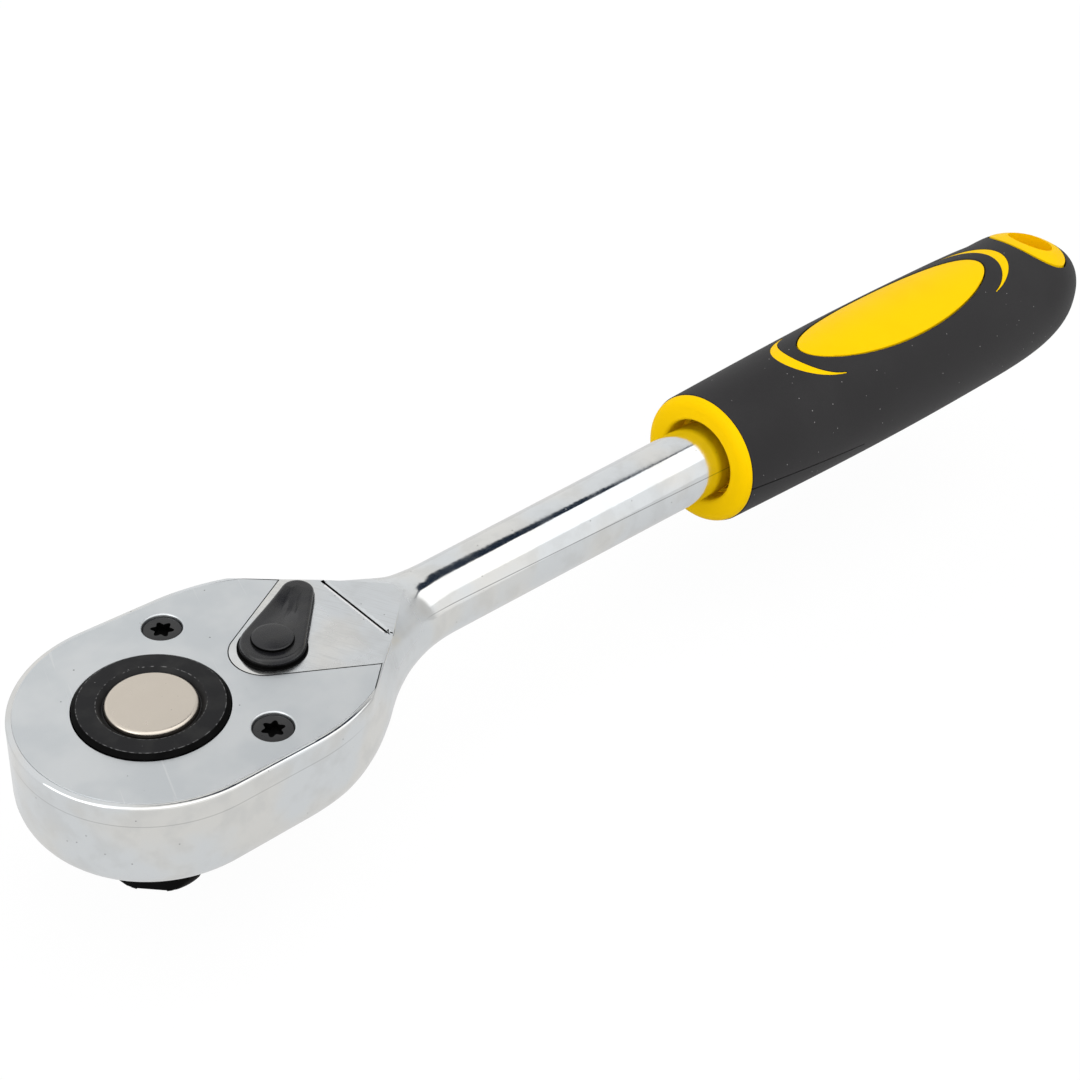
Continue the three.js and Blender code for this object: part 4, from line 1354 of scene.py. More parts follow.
    def skin(self) -> Piece:
        """Wraps a grid round the sections.

        Returns:
            The forging's closed skin.
        """
        ribs = [self.rib(place, outward) for place, outward in self.half_plan()]
        rings = []
        for rib in ribs:
            mirrored = [(x, -y, z) for x, y, z in reversed(rib)]
            rings.append([*rib, *mirrored, rib[0]])
        across = len(rings[0])
        Bench.clear()
        bpy.ops.mesh.primitive_grid_add(
            x_subdivisions=across - 1, y_subdivisions=len(rings) - 1, size=1
        )
        piece = Bench.named("ratchet_forging")
        for vertex in piece.data.vertices:
            row, column = divmod(vertex.index, across)
            vertex.co = rings[row][column]
        Bench.edit(piece)
        bpy.ops.mesh.remove_doubles(threshold=WELD)
        bpy.ops.mesh.select_all(action="DESELECT")
        bpy.ops.mesh.select_non_manifold()
        bpy.ops.mesh.edge_face_add()
        return Bench.close(piece)

    def build(self) -> Piece:
        """Models the forging with its recess, bores and groove.

        Returns:
            The forging.
        """
        head = self.head
        above = head.top + 3 * CLEAR
        floor, ceiling = head.floor, head.pocket_ceiling
        lever, pawl = (head.lever_x, 0.0), (head.pawl_x, 0.0)
        x, y = head.screw
        screw_end = head.plate_under - self.screw_depth
        round_pocket = arc((0, 0), self.pocket_radius, -self.pocket_turn, self.pocket_turn, 24)
        piece = self.skin()
        Bench.fit(piece, Fit.JOIN, self.burr())
        Bench.fit(
            piece,
            Fit.CUT,
            self.recess(above),
            Bench.rod(self.gear_bore, floor, above),
            Bench.rod(self.journal_bore, head.bottom - 2 * CLEAR, above),
            Bench.prism("pocket", [(0.0, 0.0), *round_pocket], floor, ceiling),
            Bench.rod(self.lever_pocket, floor, ceiling, lever, 48),
            Bench.rod(self.lever_bore, ceiling - CLEAR, above, lever, 48),
            Bench.rod(self.foot_bore, floor - self.foot_depth, above, lever, 24),
            Bench.rod(self.pin_bore, floor - self.pin_depth, ceiling + self.pin_depth, pawl, 24),
            *self.groove_tools(),
            *(Bench.rod(self.screw_bore, screw_end, above, (x, side * y), 24) for side in SIDES),
        )
        Bench.settle(piece)
        self.dress(piece, "forged_chrome", "frame", "chrome", "ratchet_body")
        # Painted shade on the groove's walls.
        self.second_finish(piece, "drive_black", self.in_groove_shade)
        # Painted highlight: the ridge beside the groove takes a brighter chrome.
        self.second_finish(piece, "bright_chrome", self.on_burr)
        return piece

    def recess(self, above: float) -> Piece:
        """Makes the tool for the plate's recess, which spares a tongue round the lever.

        Args:
            above: A height over the whole head.

        Returns:
            The tool.
        """
        head = self.head
        low = head.plate_under
        plan = head.outline(head.rim - head.outline_seam)
        spared = [head.beyond_crease(self.crease_lip, side) for side in SIDES]
        tools = [
            Bench.prism("spared", outline, low - CLEAR, above + CLEAR)
            for outline in (head.notch(-head.seam), *spared)
        ]
        return Bench.fit(Bench.prism("recess", plan, low, above), Fit.CUT, *tools)

    def across_neck(self, name: str, section: Sequence[Pair], low: float, high: float) -> Piece:
        """Returns a bar across the neck at the groove.

        Args:
            name: The bar's name.
            section: Pairs of place behind the groove's middle and height over the top.
            low: Where it starts across the tool.
            high: Where it ends.

        Returns:
            The closed bar.
        """
        bar = Bench.prism(name, section, low, high)
        lie = Matrix(((1, 0, 0, 0), (0, 0, 1, 0), (0, 1, 0, 0), (0, 0, 0, 1)))
        Bench.move(bar, Matrix.Translation((self.groove_x, 0, self.head.top)) @ lie)
        return Bench.close(bar)

    def groove_tools(self) -> list[Piece]:
        """Makes the tools for the groove stamped across the neck and the fork at its near end.

        Returns:
            The tools.
        """
        deep, half, slope = self.groove_depth, self.groove_width / 2, self.groove_slope
        y = self.head.crease_half
        floor = half - slope
        section = (
            (-half, CLEAR),
            (-half, -deep),
            (floor, -deep),
            (floor, -slope),
            (half, 0),
            (half, CLEAR),
        )
        tools = [self.across_neck("groove", section, -y + self.groove_near, y - self.groove_far)]
        wide, long, sunk = self.nick
        low, high = self.head.top - sunk, self.head.top + CLEAR
        place = Matrix.Translation((self.groove_x, -y + self.nick_near, 0))
        for turn in self.nick_turns:
            spin = Matrix.Rotation(math.radians(turn), 4, "Z")
            nick = Bench.slab((-wide, -long, low), (wide, long, high), spin)
            tools.append(Bench.move(nick, place))
        return tools

    def burr(self) -> Piece:
        """Makes the low ridge that the stamp raised along the groove's near edge.

        Returns:
            The ridge.
        """
        near, high, y = -self.groove_width / 2, self.burr_height, self.head.crease_half
        section = (
            (near, -self.burr_root),
            (near, high),
            (near - self.burr_flat, high),
            (near - self.burr_foot, 0),
            (near - self.burr_foot, -self.burr_root),
        )
        return self.across_neck("burr", section, -y + self.burr_near, y - self.burr_far)

    def in_groove_shade(self, centre: Vector, normal: Vector) -> bool:
        """Says whether a face is on the groove's walls, which take painted shade.

        Args:
            centre: The face's centre, in metres.
            normal: Its normal.

        Returns:
            True if it is.
        """
        head = self.head
        across = abs(centre.x / MM - self.groove_x) < self.groove_width
        sunk = self.groove_skin < head.top - centre.z / MM < 2 * self.groove_depth
        wall = abs(normal.z) < UPRIGHT
        return across and sunk and wall and abs(centre.y / MM) < head.crease_half

    def on_burr(self, centre: Vector, normal: Vector) -> bool:
        """Says whether a face is on the ridge beside the groove, which takes the painted
        highlight.

        Args:
            centre: The face's centre, in metres.
            normal: Its normal. It is not used.

        Returns:
            True if it is.
        """
        low, high = self.burr_share
        over = (centre.z / MM - self.head.top) / self.burr_height
        across = abs(centre.x / MM - self.groove_x)
        return low < over < high and across < self.groove_width


@dataclass
class Cover(Assembly):
    """The cover plate, let flush into the head, and its two screws. Millimetres."""

    hub_hole: float = 10.75
    sink_radius: float = 3.08
    sink_depth: float = 0.18
    counterbore: float = 2.92
    counterbore_depth: float = 1.7
    screw_hole: float = 1.72
    through: float = 4.0
    edge: float = 0.07
    screw_head: float = 2.82
    screw_head_height: float = 1.4
    screw_sunk: float = 0.46
    screw_edge: float = 0.25
    screw_shaft: float = 1.6
    screw_reach: float = 6.0
    shaft_chamfer: float = 0.4
    crease_gap: float = 0.17
    under_gap: float = 0.05
    socket_depth: float = 1.15
    socket_radius: float = 1.72
    socket_waist: float = 0.66
    socket_skin: float = 0.05
    socket_turns: Pair = (0.3, 0.75)
    lobes: int = 6
    lobe_steps: int = 8

    def build(self) -> None:
        """Models the plate and both screws."""
        self.plate()
        names = ("cover_screw_left", "cover_screw_right")
        for name, side, turn in zip(names, SIDES, self.socket_turns):
            self.screw(name, side, turn)

    def plate(self) -> Piece:
        """Models the plate with its hub hole, notch and counterbores.

        Returns:
            The plate.
        """
        head = self.head
        low, above = head.plate_under + self.under_gap, head.top + CLEAR
        under = low - CLEAR
        piece = Bench.prism("cover_plate_ground", head.outline(head.rim), low, head.top)
        x, y = head.screw
        tools = [
            Bench.prism("notch", head.notch(0), under, above),
            Bench.rod(self.hub_hole, under, above, sides=128),
        ]
        for side in SIDES:
            outside = head.beyond_crease(self.crease_gap, side)
            tools.append(Bench.prism("outside", outside, under, above))
        for side in SIDES:
            place = Matrix.Translation((x, side * y, head.top))
            tools.append(Bench.move(self.sink_tool(), place))
        Bench.fit(piece, Fit.CUT, *tools)
        Bench.soften(piece, self.edge, 2)
        Bench.settle(piece)
        return self.dress(piece, "satin_chrome", "frame", "satin_chrome", "cover_plate")

    def sink_tool(self) -> Piece:
        """Turns the tool for a counterbore that opens in a cone at the plate's top.

        Returns:
            The tool.
        """
        profile = [
            (0, -self.through),
            (self.screw_hole, -self.through),
            (self.screw_hole, -self.counterbore_depth),
            (self.counterbore, -self.counterbore_depth),
            (self.counterbore, -self.sink_depth),
            (self.sink_radius, 0),
            (self.sink_radius, CLEAR),
            (0, CLEAR),
        ]
        return Bench.turn("sink", profile, 64)

    def in_socket_shade(self, centre: Vector, normal: Vector) -> bool:
        """Says whether a face is inside a screw's socket, which takes painted shade.

        Args:
            centre: The face's centre, in metres.
            normal: Its normal. It is not used.

        Returns:
            True if it is.
        """
        x, y = self.head.screw
        reach = math.hypot(centre.x / MM - x, abs(centre.y / MM) - y)
        sunk = self.head.top - centre.z / MM - self.screw_sunk
        deep = self.socket_skin < sunk < self.socket_depth + self.socket_skin
        return deep and reach < self.socket_radius

    def screw(self, name: str, side: int, turn: float) -> Piece:
        """Models one screw.

        Args:
            name: The solid that it stands for.
            side: 1 for the left, -1 for the right.
            turn: How far its socket is turned, in radians.

        Returns:
            The screw.
        """
        head = self.head
        shoulder = self.screw_edge
        low = -self.screw_head_height
        end = head.plate_under - self.screw_reach - head.top + self.screw_sunk
        rim = arc((self.screw_head - shoulder, -shoulder), shoulder, 0, QUARTER, 7)
        profile = [
            (0, end),
            (self.screw_shaft - self.shaft_chamfer, end),
            (self.screw_shaft, end + self.shaft_chamfer),
            (self.screw_shaft, low),
            (self.screw_head, low),
            *rim,
            (0, 0),
        ]
        piece = Bench.turn(f"{name}_blacked", profile, 64)
        points = []
        steps = self.lobes * self.lobe_steps
        for i in range(steps):
            angle = FULL_TURN * i / steps
            swell = lerp(self.socket_waist, 1, 0.5 + 0.5 * math.cos(self.lobes * angle))
            radius = self.socket_radius * swell
            points.append((radius * math.cos(angle + turn), radius * math.sin(angle + turn)))
        Bench.fit(piece, Fit.CUT, Bench.prism("socket", points, -self.socket_depth, CLEAR))
        x, y = head.screw
        Bench.settle(piece, Matrix.Translation((x, side * y, head.top - self.screw_sunk)))
        self.dress(piece, "black_oxide", "frame", "black_steel", name)
        # Painted shade inside the socket.
        self.second_finish(piece, "drive_black", self.in_socket_shade)
        return piece


@dataclass
class Drive(Assembly):
    """The gear with its hub ring and square drive, and the release button. Millimetres."""

    hub_radius: float = 10.6
    hub_proud: float = 0.74
    hub_top_radius: float = 9.92
    hub_foot: tuple[Pair, ...] = ((0, 0.58), (0.1, 0.44))
    hub_edge: tuple[Pair, ...] = ((0.22, 0.16), (0.1, 0.03), (0, 0))
    cone_radius: float = 7.4
    cone_depth: float = 0.8
    bore: float = 6.48
    bore_chamfer: float = 0.15
    seat: float = 22.5
    gear_tip: float = 12.4
    teeth: int = 48
    tooth_depth: float = 1.0
    tip_share: float = 0.08
    root_share: float = 0.42
    ring_bore: float = 8.0
    overlap: float = 1.0
    gear_low: float = 16.8
    gear_high: float = 26.1
    journal: float = 9.9
    journal_chamfer: float = 0.3
    square: float = 12.7
    square_turn: float = math.radians(45)
    square_edge: float = 0.2
    corner: float = 8.2
    nose: tuple[Pair, ...] = ((1.5, 0), (1.05, 0.35), (0.45, 1.4), (0, 2.7))
    ball_z: float = 6.8
    ball_bore: float = 2.7
    ball_lip: float = 2.45
    ball_skin: float = 0.5
    pin_bore: float = 2.5
    pin_floor: float = 2.0
    button_radius: float = 6.34
    button_top: float = 30.4
    button_height: float = 2.8
    button_roll: float = 0.55
    button_bore: float = 2.45
    button_hollow: float = 1.65

    def build(self) -> None:
        """Models the gear and the button."""
        self.gear()
        self.button()

    def tooth_outline(self) -> list[Pair]:
        """Draws the gear's toothed outline.

        Returns:
            The outline's points.
        """
        pitch = FULL_TURN / self.teeth
        root = self.gear_tip - self.tooth_depth
        tip_end, root_start = self.tip_share, self.root_share
        corners = (
            (-tip_end, self.gear_tip),
            (tip_end, self.gear_tip),
            (root_start, root),
            (1 - root_start, root),
        )
        points = []
        for tooth in range(self.teeth):
            for share, radius in corners:
                angle = (tooth + share) * pitch
                points.append((radius * math.cos(angle), radius * math.sin(angle)))
        return points

    def square_drive(self) -> Piece:
        """Makes the square drive with turned corners, a chamfered end and softened edges.

        Returns:
            The square drive.
        """
        half = self.square / 2
        high = self.gear_low + self.overlap
        piece = Bench.slab((-half, -half, 0), (half, half, high))
        nose = [(self.corner - inward, height) for inward, height in self.nose]
        rounded = [(0, 0), *nose, (self.corner, high), (0, high)]
        Bench.fit(piece, Fit.KEEP, Bench.turn("corners", rounded))
        Bench.soften(piece, self.square_edge, 2, 25)
        return Bench.move(piece, Matrix.Rotation(self.square_turn, 4, "Z"))

    def gear(self) -> Piece:
        """Models the hub ring, teeth, journal and square drive as one piece.

        Returns:
            The gear.
        """
        low, top = self.head.bottom, self.head.top + self.hub_proud
        hub_low, cone_low = self.gear_high - self.overlap, top - self.cone_depth
        chamfer = self.journal_chamfer
        profile = [
            (0, low - chamfer),
            (self.journal - chamfer, low - chamfer),
            (self.journal, low),
            (self.journal, hub_low),
            (self.hub_radius, hub_low),
            *((self.hub_radius - inward, top - down) for inward, down in self.hub_foot),
            *((self.hub_top_radius + outward, top - down) for outward, down in self.hub_edge),
            (self.cone_radius, top),
            (self.bore + self.bore_chamfer, cone_low),
            (self.bore, cone_low),
            (self.bore, self.seat),
            (0, self.seat),
        ]
        piece = Bench.turn("drive_gear_blacked", profile, 128)
        ring = Bench.prism("teeth", self.tooth_outline(), self.gear_low, self.gear_high)
        hollow = Bench.rod(self.ring_bore, self.gear_low - CLEAR, self.gear_high + CLEAR)
        Bench.fit(ring, Fit.CUT, hollow)
        Bench.fit(piece, Fit.JOIN, ring, self.square_drive())
        turn = Matrix.Rotation(self.square_turn, 4, "Z")
        ball = turn @ Matrix.Translation((0, 0, self.ball_z))
        across = ball @ Matrix.Rotation(QUARTER, 4, "Y")
        deep = Bench.rod(self.ball_bore, 0, self.square / 2 - self.ball_skin, sides=48)
        lip = Bench.rod(self.ball_lip, 0, self.square, sides=48)
        Bench.fit(
            piece,
            Fit.CUT,
            Bench.rod(self.pin_bore, self.pin_floor, self.seat + CLEAR, sides=48),
            Bench.move(deep, across),
            Bench.move(lip, across),
        )
        Bench.settle(piece)
        self.dress(piece, "hub_oxide", "drive", "black_steel", "drive_gear")
        # Painted shade on the square drive under the head and on the hub ring's slope.
        self.second_finish(piece, "drive_black", self.in_shade)
        return piece

    def in_shade(self, centre: Vector, normal: Vector) -> bool:
        """Says whether a face takes painted shade: on the square drive, or on the sloped wall of
        the hub ring.

        Args:
            centre: The face's centre, in metres.
            normal: Its normal. It is not used.

        Returns:
            True if it is.
        """
        on_square = centre.z / MM < self.head.bottom
        slope_start = self.hub_top_radius + self.hub_edge[1][0]
        outside = math.hypot(centre.x, centre.y) / MM > slope_start
        return on_square or (outside and centre.z / MM > self.gear_high)

    def button(self) -> Piece:
        """Models the release button: a flat face with a rolled edge.

        Returns:
            The button.
        """
        roll = self.button_roll
        low = self.button_top - self.button_height
        edge = arc((self.button_radius - roll, self.button_top - roll), roll, 0, QUARTER, 8)
        profile = [(0, low), (self.button_radius, low), *edge, (0, self.button_top)]
        piece = Bench.turn("release_button_plated", profile, 96)
        hollow = Bench.rod(self.button_bore, low - CLEAR, low + self.button_hollow, sides=48)
        Bench.fit(piece, Fit.CUT, hollow)
        Bench.settle(piece)
        return self.dress(piece, "warm_nickel", "release", "nickel", "release_button")


@dataclass
class Lever(Assembly):
    """The reversing lever and its riveted spindle. Millimetres, from the pivot along +X."""

    angle: float = math.radians(36)
    wide: float = 4.8
    tip: float = 2.6
    tip_x: float = 11.9
    low: float = 29.8
    thickness: float = 1.3
    base: float = 0.45
    ledge: float = 0.14
    edge: float = 0.5
    head_radius: float = 3.0
    head_wall: float = 0.55
    head_crown: float = 0.2
    flange: tuple[Pair, ...] = ((0.15, 0), (0.15, 0.12), (-0.2, 0.16))
    rivet: tuple[Pair, ...] = ((-0.2, 0.2), (0, 0.14), (0, 0.06))
    dome_edge: float = 0.08
    dome_steps: int = 10
    hollow_x: float = 7.7
    hollow_depth: float = 0.8
    hollow: Pair = (2.1, 1.9)
    toe: float = 0.3
    toe_start: float = 0.62
    toe_past: float = 1.2
    edge_steps: int = 5
    top_rings: int = 4
    top_ring: float = 0.3
    wall_draft: float = 0.01
    crown_skin: float = 0.1
    edge_skin: float = 0.02
    pin_hole: float = 2.05
    # A thin dark disc under the lever, finished in painted shade: a painted shadow, not a part of
    # the tool.
    shadow_disc: float = 5.1
    shadow_disc_gap: float = 0.06
    shadow_disc_play: float = 0.01
    head_gap: float = 0.05
    neck: Pair = (0.18, 0.12)
    neck_radius: float = 2.0
    foot_radius: float = 1.5
    foot_depth: float = 1.4
    foot_gap: float = 0.1
    stem: tuple[Pair, ...] = (
        (2.5, 24.95),
        (2.0, 24.95),
        (2.0, 25.55),
        (2.9, 25.55),
        (2.9, 27.15),
        (2.05, 27.15),
        (2.05, 28.05),
        (2.9, 28.05),
    )
    plunger_bore: float = 1.1
    plunger_run: Pair = (-5, 1.4)
    plunger_z: float = 20.6

    def frame(self) -> Matrix:
        """Returns where the lever's own frame lies in the part's."""
        turn = Matrix.Rotation(self.angle, 4, "Z")
        return Matrix.Translation((self.head.lever_x, 0, 0)) @ turn

    def build(self) -> None:
        """Models the lever and the spindle."""
        self.handle()
        self.spindle()

    def outline(self) -> list[Pair]:
        """Draws the teardrop plan.

        Returns:
            The outline's points.
        """
        turn = math.acos((self.wide - self.tip) / self.tip_x)
        return [
            *arc((0, 0), self.wide, turn, FULL_TURN - turn, 40),
            *arc((self.tip_x, 0), self.tip, -turn, turn, 20),
        ]

    def crown(self, point: Vector) -> Vector:
        """Raises the top at the tip and hollows it for a finger.

        Args:
            point: A point of the lever.

        Returns:
            Where it goes.
        """
        if point.z < self.low + self.base + self.crown_skin:
            return point
        toe = smooth(self.tip_x * self.toe_start, self.tip_x + self.toe_past, point.x)
        long, wide = self.hollow
        hollow = math.exp(-(((point.x - self.hollow_x) / long) ** 2) - (point.y / wide) ** 2)
        lift = self.toe * toe - self.hollow_depth * hollow
        return Vector((point.x, point.y, point.z + lift))

    def handle(self) -> Piece:
        """Models the lever: a base, a ledge, then a rounded edge up to a crowned top.

        Returns:
            The lever.
        """
        ledge = self.low + self.base
        piece = Bench.prism("reverse_lever_blacked", self.outline(), self.low, ledge)
        Bench.pick_top(piece)
        bpy.ops.mesh.inset(thickness=self.ledge, depth=0.0)
        wall = self.thickness - self.base - self.edge
        bpy.ops.mesh.inset(thickness=self.wall_draft, depth=wall)
        angles = [QUARTER * i / self.edge_steps for i in range(self.edge_steps + 1)]
        for start, end in zip(angles, angles[1:]):
            inward = self.edge * (math.cos(start) - math.cos(end))
            rise = self.edge * (math.sin(end) - math.sin(start))
            bpy.ops.mesh.inset(thickness=inward, depth=rise)
        for _ in range(self.top_rings):
            bpy.ops.mesh.inset(thickness=self.top_ring, depth=0.0)
        bpy.ops.mesh.poke()
        bpy.ops.mesh.select_mode(type="VERT")
        Bench.close(piece)
        Bench.edit(piece)
        bpy.ops.mesh.subdivide(number_cuts=3)
        bpy.ops.object.mode_set(mode="OBJECT")
        Bench.shape(piece, self.crown)
        hole = Bench.rod(self.pin_hole, self.low - CLEAR, self.low + 4 * CLEAR, sides=48)
        Bench.fit(piece, Fit.CUT, hole)
        Bench.settle(piece, self.frame())
        self.dress(piece, "lever_black", "lever", "black_steel", "reverse_lever")
        # Painted shade on the low wall under the ledge.
        self.second_finish(piece, "drive_black", self.under_ledge_shade)
        return piece

    def under_ledge_shade(self, centre: Vector, normal: Vector) -> bool:
        """Says whether a face is on the low wall under the lever's ledge, which takes painted
        shade.
        """
        return centre.z / MM < self.low + self.base - self.edge_skin

    def in_shade(self, centre: Vector, normal: Vector) -> bool:
        """Says whether a face takes painted shade: on the dark disc under the lever, or on the
        neck under the rivet head.

        Args:
            centre: The face's centre, in metres.
            normal: Its normal. It is not used.

        Returns:
            True if it is.
        """
        top = self.low + self.thickness
        under, over = self.neck
        on_neck = top + under < centre.z / MM < top + self.head_wall - over
        return on_neck or centre.z / MM < self.low

    def spindle(self) -> Piece:
        """Models the spindle with its domed rivet head, and a thin dark disc under the lever that
        is a painted shadow.

        Returns:
            The spindle.
        """
        head = self.head
        under = self.low + self.thickness + self.head_gap
        shoulder = under + self.head_wall
        radius = self.head_radius
        dome = [(radius + out, under + up) for out, up in self.flange]
        dome += [(radius + out, shoulder - down) for out, down in self.rivet]
        for share in spread(1, 0, self.dome_steps)[:-1]:
            height = shoulder + self.head_crown * (1 - share * share)
            dome.append(((radius - self.dome_edge) * share, height))
        foot, foot_top = head.floor - self.foot_depth, head.floor + self.foot_gap
        # The disc under the lever is a painted shadow.
        shadow_disc_low, shadow_disc_top = head.top + self.shadow_disc_gap, self.low - self.shadow_disc_play
        profile = [
            (0, foot),
            (self.foot_radius, foot),
            (self.foot_radius, foot_top),
            (self.stem[0][0], foot_top),
            *self.stem,
            (self.stem[-1][0], shadow_disc_low),
            (self.shadow_disc, shadow_disc_low),
            (self.shadow_disc, shadow_disc_top),
            (self.neck_radius, shadow_disc_top),
            (self.neck_radius, under),
            *dome,
            (0, shoulder + self.head_crown),
        ]
        piece = Bench.turn("lever_spindle_blacked", profile, 64)
        across = Matrix.Translation((0, 0, self.plunger_z)) @ Matrix.Rotation(QUARTER, 4, "Y")
        bore = Bench.rod(self.plunger_bore, *self.plunger_run, sides=32)
        Bench.fit(piece, Fit.CUT, Bench.move(bore, across))
        Bench.settle(piece, self.frame())
        self.dress(piece, "lever_black", "lever", "black_steel", "lever_spindle")
        # Painted shade on the disc under the lever and on the neck under the rivet head.
        self.second_finish(piece, "drive_black", self.in_shade)
        return piece


@dataclass
class Handle(Assembly):
    """The yellow core and the rubber grip over it. Millimetres along the shank's axis."""

    front: float = 114.4
    front_radius: float = 12.1
    belly: float = 13.75
    belly_x: float = 182.0
    end: float = 231.0
    end_power: float = 4.5
    end_root: float = 2.3
    wall: float = 2.2
    gap: float = 0.3
    collar_front: float = 112.9
    collar_sunk: float = 0.15
    collar_back: float = 0.1
    collar_lip: float = 0.7
    collar_round: float = 2.2
    recess_radius: float = 7.7
    recess_depth: float = 4.5
    bore: float = 6.96
    bore_end: float = 196.3
    inset_low: float = 5.8
    inset_high: float = 40.0
    oval_x: float = 168.7
    oval: Pair = (28.6, 7.75)
    oval_sunk: float = 0.1
    oval_round: float = 0.1
    crescent_sunk: float = 0.06
    crescent_gap: float = 1 / 3
    window_round: float = 0.22
    end_height: float = 1.03
    end_square: float = 2.4
    end_blend: Pair = (207, 218)
    hang_x: float = 217.4
    rim_x: float = 217.0
    hang_rim: Pair = (6.7, 8.5)
    rim_proud: float = 0.05
    hang_hole: Pair = (3.7, 4.4)
    hang_flare: float = 1.14
    tip: Pair = (24.6, 7.6)
    tip_half: float = 0.05
    front_bow: Pair = (34.8, 32.0)
    rear_bow: Pair = (35.9, 32.8)
    bow_swing: float = math.radians(75)
    parting_length: float = 33.0
    parting_drop: float = 3.9
    parting_depth: float = 0.35
    parting_width: float = 0.24
    along_x: Matrix = Matrix.Rotation(QUARTER, 4, "Y")

    def build(self) -> None:
        """Models the core and the grip."""
        self.core()
        self.grip()

    def radius(self, x: float, inset: float) -> float:
        """Measures the handle.

        Args:
            x: The place along it.
            inset: How far it is drawn in.

        Returns:
            Its radius there.
        """
        belly = self.belly - inset
        if x <= self.belly_x:
            share = max((x - self.front) / (self.belly_x - self.front), 0)
            return lerp(self.front_radius - inset, belly, math.sin(QUARTER * share))
        share = (x - self.belly_x) / (self.end - inset - self.belly_x)
        return belly * max(1 - share**self.end_power, 0) ** (1 / self.end_root)

    def profile(self, inset: float, front: float) -> list[Pair]:
        """Draws the handle's side, from the front to the pointed end.

        Args:
            inset: How far it is drawn in.
            front: Where it starts.

        Returns:
            Pairs of radius and place along the handle.
        """
        stop, steps = self.end - inset, 40
        xs = spread(front, self.belly_x, 24)
        for i in range(1, steps):
            xs.append(lerp(self.belly_x, stop, math.sin(QUARTER * i / steps)))
        return [*((self.radius(x, inset), x) for x in xs), (0.0, stop)]

    def form(self, name: str, inset: float, front: float) -> Piece:
        """Returns the solid of the handle's shape, drawn in by an inset, lying along +X."""
        piece = Bench.turn(name, [(0.0, front), *self.profile(inset, front)], 128)
        return Bench.shape(Bench.move(piece, self.along_x), self.fill_out)

    def fill_out(self, point: Vector) -> Vector:
        """Makes the upper half of the handle's end flatter and broader.

        Args:
            point: A point of the handle.

        Returns:
            Where it goes.
        """
        reach = math.hypot(point.y, point.z)
        if point.z <= 0 or reach < WELD:
            return point
        side = (abs(point.y) / reach) ** self.end_square
        broad = self.end_height * reach * max(1 - side, 0.0) ** (1 / self.end_square)
        height = lerp(point.z, broad, smooth(*self.end_blend, point.x))
        return Vector((point.x, point.y, height))

    def crescent(self, side: int, margin: float) -> list[Pair]:
        """Draws a crescent hugging one end of the oval.

        Args:
            side: -1 for the front end, 1 for the rear.
            margin: How far it is grown.

        Returns:
            The outline's points.
        """
        bow_outer, bow_inner = self.front_bow if side < 0 else self.rear_bow
        middle = (bow_outer + bow_inner) / 2
        narrow = math.cos(self.bow_swing)
        back = (self.tip[0] - middle) / (1 - narrow) * math.sin(self.bow_swing)
        along = Vector((back, self.tip[1] / math.tan(self.bow_swing))).normalized()
        across = Vector((along.y, -along.x))
        point = Vector(self.tip) + along * margin
        outer = point + across * (self.tip_half + margin)
        inner = point - across * (self.tip_half + margin)

        def bow(end: Vector, reach: float, share: float) -> Pair:
            """Follows one edge of the crescent.

            Args:
                end: Where the edge ends, beside the tip.
                reach: How far out the edge bows.
                share: The place along it, from 0 to 1.

            Returns:
                The point there.
            """
            angle = lerp(-self.bow_swing, self.bow_swing, share)
            centre = (end.x - reach * narrow) / (1 - narrow)
            x = lerp(centre, reach, math.cos(angle))
            return (self.oval_x + side * x, end.y * math.sin(angle) / math.sin(self.bow_swing))

        shares = spread(0, 1, 24)
        behind = [bow(outer, bow_outer + margin, share) for share in shares]
        front = [bow(inner, bow_inner - margin, 1 - share) for share in shares]
        return [*behind, *front]

    def ellipse(self, x: float, half: Pair, margin: float) -> list[Pair]:
        """Draws an ellipse across the handle.

        Args:
            x: Where its middle lies.
            half: Half its length and half its width.
            margin: How far it is grown.

        Returns:
            The outline's points.
        """
        steps, first = 96, 0.37
        angles = [FULL_TURN * (i + first) / steps for i in range(steps)]
        length, width = half[0] + margin, half[1] + margin
        return [(x + length * math.cos(a), width * math.sin(a)) for a in angles]

    def insets(self, margin: float) -> list[Piece]:
        """Makes the yellow insets as upright columns.

        Args:
            margin: How far they are grown.

        Returns:
            The oval, the front crescent, the rear crescent and the hang hole's rim.
        """
        low, high = self.inset_low, self.inset_high
        thin = margin * self.crescent_gap
        return [
            Bench.prism("oval", self.ellipse(self.oval_x, self.oval, margin), low, high),
            Bench.prism("front_crescent", self.crescent(-1, thin), low, high),
            Bench.prism("rear_crescent", self.crescent(1, thin), low, high),
            Bench.prism("hang_rim", self.ellipse(self.rim_x, self.hang_rim, margin), -high, high),
        ]

    def collar(self) -> Piece:
        """Turns the collar that shows in front of the rubber.

        Returns:
            The collar.
        """
        rear = self.front - self.collar_back
        outer = self.front_radius - self.collar_sunk
        turn = self.collar_lip
        middle = (self.recess_radius + turn, self.collar_front + turn)
        lip = arc(middle, turn, math.pi, 3 * QUARTER, 5)
        edge, steps = [], 8
        for i in range(steps + 1):
            angle = QUARTER * i / steps
            place = rear - (rear - self.collar_front) * math.cos(angle)
            edge.append((outer - self.collar_round * (1 - math.sin(angle)), place))
        profile = [(self.recess_radius, rear), *lip, *edge, (self.recess_radius, rear)]
        return Bench.move(Bench.turn("collar", profile, 128), self.along_x)

